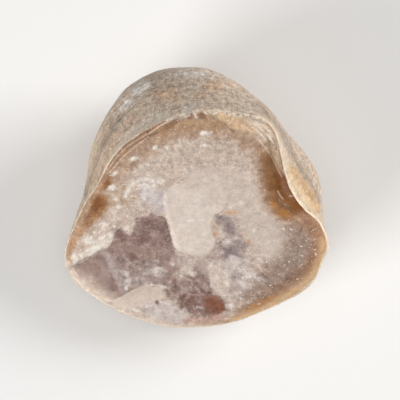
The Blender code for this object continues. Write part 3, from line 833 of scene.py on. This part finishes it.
# Widths in millimetres, at 16 bearings, of the brown rim inside the crest and of the cream one on each side
# of it. The cream rim is the rind's own colour, and partly painted light: at the low bearings it is widened
# to lighten the steep rind below the crest, which lies in shade.
BROWN_RIM = (2.0, 0.6, 0.4, 1.0, 1.0, 1.1, 1.5, 1.5, 1.3, 0.3, 0.0, 0.0, 0.1, 1.2, 2.2, 2.3)
CREAM_RIM = (2.0, 0.8, 0.6, 0.1, 0.1, 0.1, 0.3, 0.5, 0.8, 2.2, 3.0, 3.2, 3.4, 3.4, 3.4, 3.0)


def linear(colour):
    """Linear light values of an 8-bit screen colour."""
    return tuple(((value / 255 + 0.055) / 1.055) ** 2.4 for value in colour)


def photo_place(points):
    """Where points of the stone, in plan millimetres and height, show in the photograph, in pixels."""
    spread = (CAMERA_HEIGHT - SHARP_HEIGHT) / (CAMERA_HEIGHT - points[..., 2]) / MM_PER_PIXEL
    across = (points[..., 0] - CAMERA_PLAN[0]) * spread + FRAME_PIXELS / 2
    down = FRAME_PIXELS / 2 - (points[..., 1] - CAMERA_PLAN[1]) * spread
    return across, down


def depth_inside(outline, x, y):
    """Signed distance to a closed outline, positive inside."""
    curve = closed_curve(outline, MARK_STEPS)
    nearest = np.full(x.shape, np.inf)
    inside = np.zeros(x.shape, bool)
    for (start_x, start_y), (end_x, end_y) in zip(curve, np.roll(curve, -1, axis=0)):
        along_x, along_y = end_x - start_x, end_y - start_y
        part = ((x - start_x) * along_x + (y - start_y) * along_y) / (along_x ** 2 + along_y ** 2)
        held = np.clip(part, 0.0, 1.0)
        nearest = np.minimum(nearest, np.hypot(x - start_x - held * along_x, y - start_y - held * along_y))
        if start_y != end_y:
            crosses = (start_y > y) != (end_y > y)
            inside ^= crosses & (x < start_x + (y - start_y) / along_y * along_x)
    return np.where(inside, nearest, -nearest)


def depth_of(shape, x, y):
    """Signed distance into a mark's shape, in pixels."""
    kind, form = shape
    if kind == "area":
        return depth_inside(form, x, y)
    if kind == "stroke":
        half_width, points = form
        signed, _ = side_of(points, x, y)
        return half_width - np.abs(signed)
    middle_x, middle_y, radius_x, radius_y, turn = form
    cosine, sine = math.cos(math.radians(turn)), math.sin(math.radians(turn))
    across = ((x - middle_x) * cosine + (y - middle_y) * sine) / radius_x
    down = ((y - middle_y) * cosine - (x - middle_x) * sine) / radius_y
    return (1 - np.hypot(across, down)) * min(radius_x, radius_y)


def shapes_depth(shapes, x, y):
    """Depth in millimetres inside the nearest of some shapes."""
    return np.max([depth_of(shape, x, y) for shape in shapes], axis=0) * MM_PER_PIXEL


def field_values(fields, elsewhere, x, y):
    """Amount of a quality at each place, each field over those before it."""
    amount = np.full(x.shape, elsewhere)
    for field in fields:
        share = smooth_step(-0.5 * field.soft, 0.5 * field.soft, shapes_depth(field.shapes, x, y))
        amount += (field.amount - amount) * share
    return amount


# The stone's mesh

def stone_grid():
    """Grid of rings over the whole stone, with the inset, way down the rind and bearing of each point."""
    bearings = np.arange(SEGMENTS) * 2 * math.pi / SEGMENTS
    crest = reach(CREST, bearings)
    face, insets = face_grid(bearings, crest)
    rind = rind_grid(face[-1], bearings)
    rind = rind + grid_normals(rind) * broad_rind_lumps(bearings)[..., None]
    grid = np.concatenate([face, rind])
    steps = np.linalg.norm(np.diff(grid[len(face) - 1:], axis=0), axis=2)
    way_down = np.concatenate([-insets, np.cumsum(steps, axis=0)])
    turns = np.broadcast_to(bearings, way_down.shape)
    return grid, way_down, turns


def fine_relief(grid, way_down, grain, chunks, across, down):
    """Height of the fine surface above the plain one, coarser where the face has more grain."""
    on_face = smooth_step(EDGE_BLEND, -EDGE_BLEND, way_down)
    medium = lumps(grid, MEDIUM_SIZE, 3, 7.7)
    smooth_grain, full_grain = FACE_GRAIN_HEIGHTS
    face = FACE_WAVE_HEIGHT * lumps(grid, FACE_WAVE_SIZE, 3, 3.1) + CHUNK_HEIGHT * chunks
    face += (smooth_grain + (full_grain - smooth_grain) * grain) * medium
    for height, shape in RISES:
        depth = depth_of(shape, across, down) * MM_PER_PIXEL + RISE_WOBBLE * medium
        face += height * smooth_step(-0.5 * RISE_WIDTH, 0.5 * RISE_WIDTH, depth)
    pits = smooth_step(*PIT_EDGE, lumps(grid, PIT_SIZE, 2, 14.9))
    rind = RIND_WAVE_HEIGHT * lumps(grid, RIND_WAVE_SIZE, 3, 5.3) - PIT_DEPTH * pits
    rind += RIND_GRAIN_HEIGHT * lumps(grid, RIND_GRAIN_SIZE, 3, 1.9)
    foot_fade = smooth_step(0.0, FOOT_FADE, grid[..., 2])
    return (on_face * face + (1 - on_face) * rind) * foot_fade


def stone_faces(rings):
    """Corner numbers of the mesh's faces, with the middle of the broken face as corner 0."""
    number = np.arange(SEGMENTS)
    following = (number + 1) % SEGMENTS
    faces = [(0, 1 + first, 1 + second) for first, second in zip(number.tolist(), following.tolist())]
    for ring in range(rings - 1):
        inner, outer = 1 + ring * SEGMENTS, 1 + (ring + 1) * SEGMENTS
        quads = np.stack([inner + number, outer + number, outer + following, inner + following], axis=1)
        faces.extend(quads.tolist())
    last = 1 + (rings - 1) * SEGMENTS
    faces.append((last + number[::-1]).tolist())
    return faces


def add_values(mesh, name, values):
    """Keep one number for each corner of the mesh."""
    layer = mesh.attributes.new(name, "FLOAT", "POINT")
    layer.data.foreach_set("value", np.asarray(values, np.float32))


def add_places(mesh, name, values):
    """Keep one vector for each corner of the mesh."""
    layer = mesh.attributes.new(name, "FLOAT_VECTOR", "POINT")
    layer.data.foreach_set("vector", np.asarray(values, np.float32).ravel())


def with_middle(values):
    """Values of a grid as a list of corners, the middle of the broken face first."""
    flat = values.reshape(-1, *values.shape[2:])
    return np.concatenate([flat[:SEGMENTS].mean(axis=0, keepdims=True), flat])


def fitted(grid):
    """Grid moved in plan to the middle of the solid's box, and held inside the box."""
    low, high = (np.array(corner) * MM_PER_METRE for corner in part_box(NODE))
    plan_shift = (grid.min(axis=(0, 1)) + grid.max(axis=(0, 1)))[:2] / 2 - (low + high)[:2] / 2
    return np.clip(grid - np.array([*plan_shift, 0.0]), low, high)


def mark_depths(across, down, above_girth):
    """Name of each mark, and how deep each point lies inside it."""
    for mark in (*FACE_MARKS, *AMBER_MARKS, *RIM_MARKS):
        yield mark.name, shapes_depth(mark.shapes, across, down)
    for mark in RIND_MARKS:
        yield mark.name, np.minimum(shapes_depth(mark.shapes, across, down), above_girth)


def build_stone():
    """Object of the stone, with everything on its mesh that its material reads."""
    grid, way_down, turns = stone_grid()
    across, down = photo_place(grid)
    grain = field_values(GRAINS, GRAIN_ELSEWHERE, across, down)
    flecks = field_values(FLECKS, FLECKS_ELSEWHERE, across, down)
    broken = smooth_step(*CHUNK_EDGE, lumps(grid, CHUNK_SIZE, 3, 21.7))
    chunks = field_values(LUMPS, 0.0, across, down) * broken
    relief = fine_relief(grid, way_down, grain, chunks, across, down)
    placed = fitted(grid + grid_normals(grid) * relief[..., None])

    corners = with_middle(placed) * METRES_PER_MM
    mesh = bpy.data.meshes.new(NODE + "_stone")
    mesh.from_pydata(corners.tolist(), [], stone_faces(len(grid)))
    mesh.shade_smooth()

    rind_place = np.stack([RING_REACH * np.cos(turns), RING_REACH * np.sin(turns), way_down], axis=-1)
    add_places(mesh, "rind_place", with_middle(rind_place))
    above_girth = way_down[FACE_RINGS + EDGE_RINGS + UPPER_RINGS - 1] - way_down
    values = {
        "way_down": way_down,
        "above_girth": above_girth,
        "brown_rim": around(BROWN_RIM, turns) + way_down,
        "cream_rim": around(CREAM_RIM, turns) - np.abs(way_down),
        "grain": grain,
        "flecks": flecks,
        "chunks": chunks,
        "rind_specks": np.where(above_girth > 0, field_values(RIND_SPECKS, 1.0, across, down), 1.0),
        "wisps": field_values(WISPS, WISPS_ELSEWHERE, across, down),
        "rind_over": depth_of(RIND_OVER, across, down) * MM_PER_PIXEL,
    }
    values.update(mark_depths(across, down, above_girth))
    for name, amounts in values.items():
        add_values(mesh, name, with_middle(amounts))
    stone = bpy.data.objects.new("stone", mesh)
    bpy.context.scene.collection.objects.link(stone)
    return stone


# Node trees

class Tree:
    """Short ways of adding nodes to a tree."""

    def __init__(self, tree):
        self.tree = tree

    def node(self, kind, **settings):
        made = self.tree.nodes.new(kind)
        for name, value in settings.items():
            setattr(made, name, value)
        return made

    def join(self, source, target):
        if isinstance(source, bpy.types.NodeSocket):
            self.tree.links.new(source, target)
        else:
            target.default_value = source

    def math(self, operation, first, second=0.0, clamp=False):
        made = self.node("ShaderNodeMath", operation=operation, use_clamp=clamp)
        self.join(first, made.inputs[0])
        self.join(second, made.inputs[1])
        return made.outputs[0]

    def vector_math(self, operation, first, second):
        made = self.node("ShaderNodeVectorMath", operation=operation)
        self.join(first, made.inputs[0])
        self.join(second, made.inputs[1])
        return made.outputs[0]

    def mix(self, share, first, second, blend="MIX"):
        made = self.node("ShaderNodeMix", data_type="RGBA", blend_type=blend)
        self.join(share, made.inputs[0])
        self.join(first, made.inputs[6])
        self.join(second, made.inputs[7])
        return made.outputs[2]

    def range(self, value, low, high, start=0.0, end=1.0, smooth=False):
        made = self.node("ShaderNodeMapRange", interpolation_type="SMOOTHSTEP" if smooth else "LINEAR")
        for socket, number in zip(made.inputs, (value, low, high, start, end)):
            self.join(number, socket)
        return made.outputs[0]

    def noise(self, place, scale, detail=2.0, roughness=0.5, distortion=0.0):
        made = self.node("ShaderNodeTexNoise")
        made.inputs["Distortion"].default_value = distortion
        self.join(place, made.inputs["Vector"])
        self.join(scale, made.inputs["Scale"])
        self.join(detail, made.inputs["Detail"])
        self.join(roughness, made.inputs["Roughness"])
        return made.outputs["Fac"]

    def pattern(self, place, pattern, smooth=True, distortion=0.0):
        made = self.noise(place, pattern.scale, pattern.detail, pattern.roughness, distortion)
        return self.range(made, pattern.none, pattern.full, smooth=smooth)

    def attribute(self, name, output="Fac"):
        return self.node("ShaderNodeAttribute", attribute_name=name).outputs[output]

    def group(self, group, **values):
        made = self.node("ShaderNodeGroup", node_tree=group)
        for name, value in values.items():
            self.join(value, made.inputs[name.replace("_", " ").capitalize()])
        return made


def new_group(name, inputs, outputs):
    """Empty shader node group with named sockets, and its short ways, inputs and outputs."""
    group = bpy.data.node_groups.new(name, "ShaderNodeTree")
    for kind, label, value in inputs:
        socket = group.interface.new_socket(label, in_out="INPUT", socket_type="NodeSocket" + kind)
        if value is not None:
            socket.default_value = value
    for kind, label in outputs:
        group.interface.new_socket(label, in_out="OUTPUT", socket_type="NodeSocket" + kind)
    tree = Tree(group)
    entry = tree.node("NodeGroupInput").outputs
    leaving = tree.node("NodeGroupOutput").inputs
    return group, tree, entry, leaving


def ragged_edge_group():
    """Mask of a mark: where the depth, moved by a wobble, is above 0."""
    group, tree, entry, leaving = new_group(
        "ragged_edge",
        [("Float", "Depth", 0.0), ("Float", "Wobble", 0.0), ("Float", "Ragged", 0.5), ("Float", "Soft", 0.5)],
        [("Float", "Mask")])
    moved = tree.math("ADD", entry["Depth"], tree.math("MULTIPLY", entry["Wobble"], entry["Ragged"]))
    half = tree.math("MULTIPLY", entry["Soft"], 0.5)
    low = tree.math("MULTIPLY", half, -1.0)
    tree.join(tree.range(moved, low, half, smooth=True), leaving["Mask"])
    return group


def grain_group():
    """Grain at two sizes: a factor of about 1 for a colour."""
    group, tree, entry, leaving = new_group(
        "stone_grain",
        [("Vector", "Place", None), ("Float", "Scale", 2.0), ("Float", "Contrast", 0.2)],
        [("Float", "Shade")])
    fine = tree.noise(entry["Place"], entry["Scale"], 2.0, 0.6)
    coarse_scale = tree.math("MULTIPLY", entry["Scale"], COARSE_GRAIN_SCALE)
    coarse = tree.noise(entry["Place"], coarse_scale, 3.0, 0.6)
    both = tree.math("ADD", tree.math("MULTIPLY", fine, FINE_GRAIN_WEIGHT),
                     tree.math("MULTIPLY", coarse, 1 - FINE_GRAIN_WEIGHT))
    spread = tree.math("MULTIPLY", tree.math("SUBTRACT", both, 0.5), entry["Contrast"])
    tree.join(tree.math("ADD", spread, 1.0), leaving["Shade"])
    return group


def speckle_group():
    """Scattered round specks: a mask."""
    group, tree, entry, leaving = new_group(
        "speckle",
        [("Vector", "Place", None), ("Float", "Scale", 1.0), ("Float", "Share", 0.3), ("Float", "Size", 0.3)],
        [("Float", "Mask")])
    cells = tree.node("ShaderNodeTexVoronoi", feature="F1")
    tree.join(entry["Place"], cells.inputs["Vector"])
    tree.join(entry["Scale"], cells.inputs["Scale"])
    pick = tree.node("ShaderNodeSeparateColor")
    tree.join(cells.outputs["Color"], pick.inputs[0])
    chosen = tree.math("LESS_THAN", pick.outputs[0], entry["Share"])
    size = tree.math("MULTIPLY", entry["Size"], tree.range(pick.outputs[1], 0.0, 1.0, 0.5, 1.0))
    inside = tree.range(cells.outputs["Distance"], size, tree.math("MULTIPLY", size, 0.5), smooth=True)
    tree.join(tree.math("MULTIPLY", chosen, inside), leaving["Mask"])
    return group


def shaded(tree, colour, shade):
    """Colour times a grey factor."""
    grey = tree.node("ShaderNodeCombineColor")
    for socket in grey.inputs[:3]:
        tree.join(shade, socket)
    return tree.mix(1.0, colour, grey.outputs[0], "MULTIPLY")


def solid(colour):
    """Colour socket value of an 8-bit screen colour."""
    return (*linear(colour), 1.0)


def laid_over(tree, colour, mask, strength, own):
    """Colour with another over it at the given strength where the mask is."""
    return tree.mix(tree.math("MULTIPLY", mask, strength), colour, own)


def edge_mask(tree, edge, name, wobble, ragged, soft):
    """Mask of the depth that the mesh keeps under a name."""
    depth = tree.attribute(name)
    return tree.group(edge, depth=depth, wobble=wobble, ragged=ragged, soft=soft).outputs["Mask"]


def paint(tree, edge, colour, marks, wobble, mottle):
    """Colour with marks laid over it, each mottled between its two colours."""
    for mark in marks:
        mask = edge_mask(tree, edge, mark.name, wobble, mark.ragged, mark.soft)
        own = tree.mix(mottle, solid(mark.colour), solid(mark.second))
        colour = laid_over(tree, colour, mask, mark.strength, own)
    return colour


def face_colour(tree, groups, place, wobble, look):
    """Colour of the broken face, and its height for the bump."""
    edge, grain, speckle = groups
    mottle = tree.pattern(place, FACE_MOTTLE, smooth=False)
    base = tree.mix(mottle, solid(HEART), solid(HEART_SECOND))
    colour = paint(tree, edge, base, FACE_MARKS, wobble, mottle)
    wisp = tree.pattern(place, WISP_CLOUDS, distortion=WISP_DISTORTION)
    wisp = tree.math("MULTIPLY", wisp, tree.attribute("wisps"))
    colour = laid_over(tree, colour, wisp, WISP_STRENGTH, solid(WISP))
    rim = edge_mask(tree, edge, "brown_rim", wobble, RIM_RAGGED, BROWN_RIM_SOFT)
    rim_own = tree.mix(mottle, solid(RIM_BROWN), solid(RIM_DARK))
    colour = laid_over(tree, colour, rim, RIM_STRENGTH, rim_own)
    colour = paint(tree, edge, colour, AMBER_MARKS, wobble, mottle)
    streak_place = tree.vector_math("MULTIPLY", tree.attribute("rind_place", "Vector"), RIM_STRETCH)
    streak = tree.pattern(streak_place, RIM_STREAKS, smooth=False)
    colour = paint(tree, edge, colour, RIM_MARKS, wobble, streak)

    contrast = tree.math("MULTIPLY", tree.attribute("grain"), look.grain)
    shade = tree.group(grain, place=place, scale=FACE_GRAIN_SCALE, contrast=contrast).outputs["Shade"]
    colour = shaded(tree, colour, shade)

    share = tree.attribute("flecks")
    threshold = tree.range(share, 0.0, 1.0, *FLECK_THRESHOLDS)
    full = tree.math("ADD", threshold, FLECK_SOFT)
    fleck = tree.range(tree.noise(place, *FLECK_NOISE), threshold, full, smooth=True)
    colour = laid_over(tree, colour, fleck, FLECK_STRENGTH, solid(FLECK))
    colour = laid_over(tree, colour, tree.attribute("chunks"), CHUNK_STRENGTH, solid(FLECK))
    dot_share = tree.math("MULTIPLY", share, DOT_SHARE)
    dots = tree.group(speckle, place=place, scale=DOT_SCALE, share=dot_share, size=DOT_SIZE).outputs["Mask"]
    colour = laid_over(tree, colour, dots, DOT_STRENGTH, solid(FLECK))
    return colour, tree.math("ADD", fleck, dots)


def rind_mottle(tree, place, ring_place, upper):
    """Mottle of the rind: streaks along its rings above the girth, plain patches below."""
    streak_place = tree.vector_math("MULTIPLY", ring_place, RIND_STRETCH)
    streak = tree.noise(streak_place, RIND_STREAKS.scale, RIND_STREAKS.detail, RIND_STREAKS.roughness)
    plain = tree.noise(place, LOW_RIND_MOTTLE.scale, LOW_RIND_MOTTLE.detail, LOW_RIND_MOTTLE.roughness)
    bands = tree.math("ADD", tree.math("MULTIPLY", streak, upper),
                      tree.math("MULTIPLY", plain, tree.math("SUBTRACT", 1.0, upper)))
    return tree.range(bands, RIND_STREAKS.none, RIND_STREAKS.full)


def rind_colour(tree, groups, place, wobble, look):
    """Colour of the rind, and its pits for the bump."""
    edge, grain, speckle = groups
    ring_place = tree.attribute("rind_place", "Vector")
    upper = tree.range(tree.attribute("above_girth"), *STREAKS_FADE, smooth=True)
    mottle = rind_mottle(tree, place, ring_place, upper)
    colour = tree.mix(mottle, solid(RIND), solid(RIND_SECOND))
    orange = tree.pattern(place, ORANGE_CLOUDS)
    colour = laid_over(tree, colour, orange, ORANGE_STRENGTH, solid(RIND_ORANGE))
    blue = tree.pattern(place, BLUE_CLOUDS)
    colour = laid_over(tree, colour, blue, BLUE_STRENGTH, solid(RIND_BLUE))
    colour = paint(tree, edge, colour, RIND_MARKS, wobble, mottle)
    # Cream rim by the crest: the rind's own colour, and partly painted light where it is widened over the
    # shaded steep rind at the low bearings
    cream = edge_mask(tree, edge, "cream_rim", wobble, RIM_RAGGED, CREAM_RIM_SOFT)
    colour = laid_over(tree, colour, cream, RIM_STRENGTH, solid(RIND_CREAM))
    speckled = tree.attribute("rind_specks")
    contrast = tree.range(speckled, 0.0, 1.0, CALM_RIND_GRAIN * look.rind_grain, look.rind_grain)
    shade = tree.group(grain, place=place, scale=RIND_GRAIN_SCALE, contrast=contrast).outputs["Shade"]
    colour = shaded(tree, colour, shade)

    fissure = tree.pattern(tree.vector_math("MULTIPLY", ring_place, FISSURE_STRETCH), FISSURES)
    fissure = tree.math("MULTIPLY", fissure, upper)
    pits = tree.group(speckle, place=place, scale=PIT_SCALE, share=PIT_SHARE, size=PIT_RADIUS).outputs["Mask"]
    dark = tree.math("MAXIMUM", tree.math("MAXIMUM", fissure, pits), tree.pattern(place, PORES))
    calm_noise = tree.noise(place, CALM_CLOUDS.scale, CALM_CLOUDS.detail, CALM_CLOUDS.roughness)
    calm = tree.range(calm_noise, CALM_CLOUDS.none, CALM_CLOUDS.full, CALM_SHARE, 1.0)
    specks = tree.math("MULTIPLY", speckled, calm)
    colour = laid_over(tree, colour, tree.math("MULTIPLY", dark, specks), DARK_STRENGTH, solid(RIND_DARK))
    pale = tree.math("MULTIPLY", tree.pattern(place, PALE_PORES), specks)
    colour = laid_over(tree, colour, pale, PALE_STRENGTH, solid(RIND_PALE))
    return colour, tree.math("MULTIPLY", dark, -1.0)


def on_rind_mask(tree, wobble):
    """Mask of the rind, with a slightly ragged line where it meets the broken face."""
    crest_way = tree.math("ADD", tree.attribute("way_down"), tree.math("MULTIPLY", wobble, CREST_WOBBLE))
    over_depth = tree.math("ADD", tree.attribute("rind_over"), tree.math("MULTIPLY", wobble, OVERLAP_WOBBLE))
    rind_depth = tree.math("MAXIMUM", crest_way, over_depth)
    return tree.range(rind_depth, -CREST_SOFT, CREST_SOFT, smooth=True)


def flint_material(look):
    """Material of the whole stone: broken face, brown rim and rind."""
    groups = ragged_edge_group(), grain_group(), speckle_group()
    material = bpy.data.materials.new("flint")
    material.use_nodes = True
    tree = Tree(material.node_tree)
    shader = material.node_tree.nodes["Principled BSDF"]

    place = tree.vector_math("SCALE", tree.node("ShaderNodeTexCoord").outputs["Object"], (0.0, 0.0, 0.0))
    place.node.inputs["Scale"].default_value = MM_PER_METRE
    coarse = tree.math("SUBTRACT", tree.noise(place, *WOBBLE_NOISE), 0.5)
    wobble = tree.math("MULTIPLY", coarse, WOBBLE_REACH)

    face, face_rise = face_colour(tree, groups, place, wobble, look)
    rind, rind_rise = rind_colour(tree, groups, place, wobble, look)
    on_rind = on_rind_mask(tree, wobble)
    tree.join(tree.mix(on_rind, face, rind), shader.inputs["Base Color"])
    tree.join(tree.range(on_rind, 0.0, 1.0, look.face_roughness, look.rind_roughness),
              shader.inputs["Roughness"])

    rise = tree.math("ADD", tree.math("MULTIPLY", face_rise, tree.math("SUBTRACT", 1.0, on_rind)),
                     tree.math("MULTIPLY", rind_rise, on_rind))
    height = tree.math("ADD", tree.noise(place, *BUMP_NOISE), tree.math("MULTIPLY", rise, BUMP_RISE))
    bump = tree.node("ShaderNodeBump")
    bump.inputs["Strength"].default_value = BUMP_STRENGTH
    bump.inputs["Distance"].default_value = look.bump_height
    tree.join(height, bump.inputs["Height"])
    tree.join(bump.outputs["Normal"], shader.inputs["Normal"])
    return material


# Settings, operators and panel

class FlintLook(bpy.types.PropertyGroup):
    """What a user would change on the stone."""

    grain: bpy.props.FloatProperty(
        name="Grain", description="Contrast of the broken face's grain", default=2.7, min=0.0)
    rind_grain: bpy.props.FloatProperty(
        name="Rind grain", description="Contrast of the rind's grain", default=3.4, min=0.0)
    face_roughness: bpy.props.FloatProperty(
        name="Face roughness", description="Roughness of the broken face", default=0.5, min=0.0, max=1.0,
        subtype="FACTOR")
    rind_roughness: bpy.props.FloatProperty(
        name="Rind roughness", description="Roughness of the rind", default=0.7, min=0.0, max=1.0,
        subtype="FACTOR")
    bump_height: bpy.props.FloatProperty(
        name="Grain height", description="Height of the finest grain", default=0.0001, min=0.0, unit="LENGTH",
        precision=5)


class StudioLook(bpy.types.PropertyGroup):
    """What a user would change on the stage."""

    floor_colour: bpy.props.FloatVectorProperty(
        name="Floor colour", description="Colour of the floor", default=(0.87, 0.857, 0.84), size=3,
        subtype="COLOR", min=0.0, max=1.0)
    floor_size: bpy.props.FloatProperty(
        name="Floor size", description="Side of the square floor", default=4.0, min=0.5, unit="LENGTH")
    sky_strength: bpy.props.FloatProperty(
        name="Sky strength", description="Brightness of the light from all around", default=0.19, min=0.0)


class FLINT_OT_stone(bpy.types.Operator):
    """Build the broken flint nodule in place of its solid."""

    bl_idname = "flint.stone"
    bl_label = "Stone"

    def execute(self, context):
        stone = build_stone()
        stone.data.materials.append(flint_material(context.scene.flint_look))
        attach(stone, "root")
        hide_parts(NODE)
        return {"FINISHED"}


def add_lamp(name, place, side, power):
    """Square soft light at a place in metres, turned to the stone."""
    lamp = bpy.data.lights.new(name, "AREA")
    lamp.shape = "SQUARE"
    lamp.size = side
    lamp.energy = power
    holder = bpy.data.objects.new(name, lamp)
    holder.location = place
    holder.rotation_euler = (-Vector(place)).to_track_quat("-Z", "Y").to_euler()
    bpy.context.scene.collection.objects.link(holder)


def side_place(bearing, elevation):
    """Place of a side light, at a bearing from +X and an elevation in degrees."""
    bearing, elevation = math.radians(bearing), math.radians(elevation)
    out = SIDE_LIGHT_DISTANCE * math.cos(elevation)
    return out * math.cos(bearing), out * math.sin(bearing), SIDE_LIGHT_DISTANCE * math.sin(elevation)


def add_camera(scene):
    """Camera straight above the stone, as in the photograph."""
    eye = bpy.data.cameras.new("camera")
    eye.sensor_width = SENSOR_WIDTH
    eye.lens = SENSOR_WIDTH * (CAMERA_HEIGHT - SHARP_HEIGHT) / (FRAME_PIXELS * MM_PER_PIXEL)
    eye.clip_start = 0.05
    eye.clip_end = 10.0
    holder = bpy.data.objects.new("camera", eye)
    holder.location = (
        (CAMERA_PLAN[0] - BOX_MIDDLE[0]) * METRES_PER_MM,
        (CAMERA_PLAN[1] - BOX_MIDDLE[1]) * METRES_PER_MM,
        CAMERA_HEIGHT * METRES_PER_MM,
    )
    scene.collection.objects.link(holder)
    scene.camera = holder


class FLINT_OT_stage(bpy.types.Operator):
    """Lay a pale floor under the stone, and add the soft lights and the camera."""

    bl_idname = "flint.stage"
    bl_label = "Stage"

    def execute(self, context):
        scene = context.scene
        studio = scene.flint_studio
        half = studio.floor_size / 2
        mesh = bpy.data.meshes.new("floor")
        mesh.from_pydata([(-half, -half, 0), (half, -half, 0), (half, half, 0), (-half, half, 0)], [],
                         [(0, 1, 2, 3)])
        floor = bpy.data.objects.new("floor", mesh)
        scene.collection.objects.link(floor)
        paper = bpy.data.materials.new("floor")
        paper.use_nodes = True
        shader = paper.node_tree.nodes["Principled BSDF"]
        shader.inputs["Base Color"].default_value = (*studio.floor_colour, 1.0)
        shader.inputs["Roughness"].default_value = 0.9
        mesh.materials.append(paper)
        floor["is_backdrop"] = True

        world = bpy.data.worlds.new("studio")
        world.use_nodes = True
        world.node_tree.nodes["Background"].inputs["Color"].default_value = (1.0, 1.0, 1.0, 1.0)
        world.node_tree.nodes["Background"].inputs["Strength"].default_value = studio.sky_strength
        scene.world = world
        for name, bearing, elevation, power in SIDE_LIGHTS:
            add_lamp(name, side_place(bearing, elevation), SIDE_LIGHT_SIZE, power)
        add_lamp("light_top", (0.0, 0.0, TOP_LIGHT_HEIGHT), TOP_LIGHT_SIZE, TOP_LIGHT_POWER)
        scene.view_settings.view_transform = "Standard"
        add_camera(scene)
        return {"FINISHED"}


class FLINT_PT_panel(bpy.types.Panel):
    """Buttons and settings of the flint nodule."""

    bl_label = "Flint nodule"
    bl_space_type = "VIEW_3D"
    bl_region_type = "UI"
    bl_category = "Flint"

    def draw(self, context):
        for settings in (context.scene.flint_look, context.scene.flint_studio):
            for name in settings.bl_rna.properties.keys():
                if name not in ("rna_type", "name"):
                    self.layout.prop(settings, name)
        for operator in (FLINT_OT_stone, FLINT_OT_stage):
            self.layout.operator(operator.bl_idname)


CLASSES = (FlintLook, StudioLook, FLINT_OT_stone, FLINT_OT_stage, FLINT_PT_panel)


def register():
    for part in CLASSES:
        bpy.utils.register_class(part)
    bpy.types.Scene.flint_look = bpy.props.PointerProperty(type=FlintLook)
    bpy.types.Scene.flint_studio = bpy.props.PointerProperty(type=StudioLook)


def unregister():
    del bpy.types.Scene.flint_studio
    del bpy.types.Scene.flint_look
    for part in reversed(CLASSES):
        bpy.utils.unregister_class(part)


def main():
    """Build everything, and gather the solid's box and the finished object's box."""
    register()
    bpy.ops.flint.stone()
    bpy.ops.flint.stage()
    boxes = {"cad": SOLID_BOX, "visual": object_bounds()}
    {name: [list(corner) for corner in box] for name, box in boxes.items()}


if __name__ == "__main__":
    main()
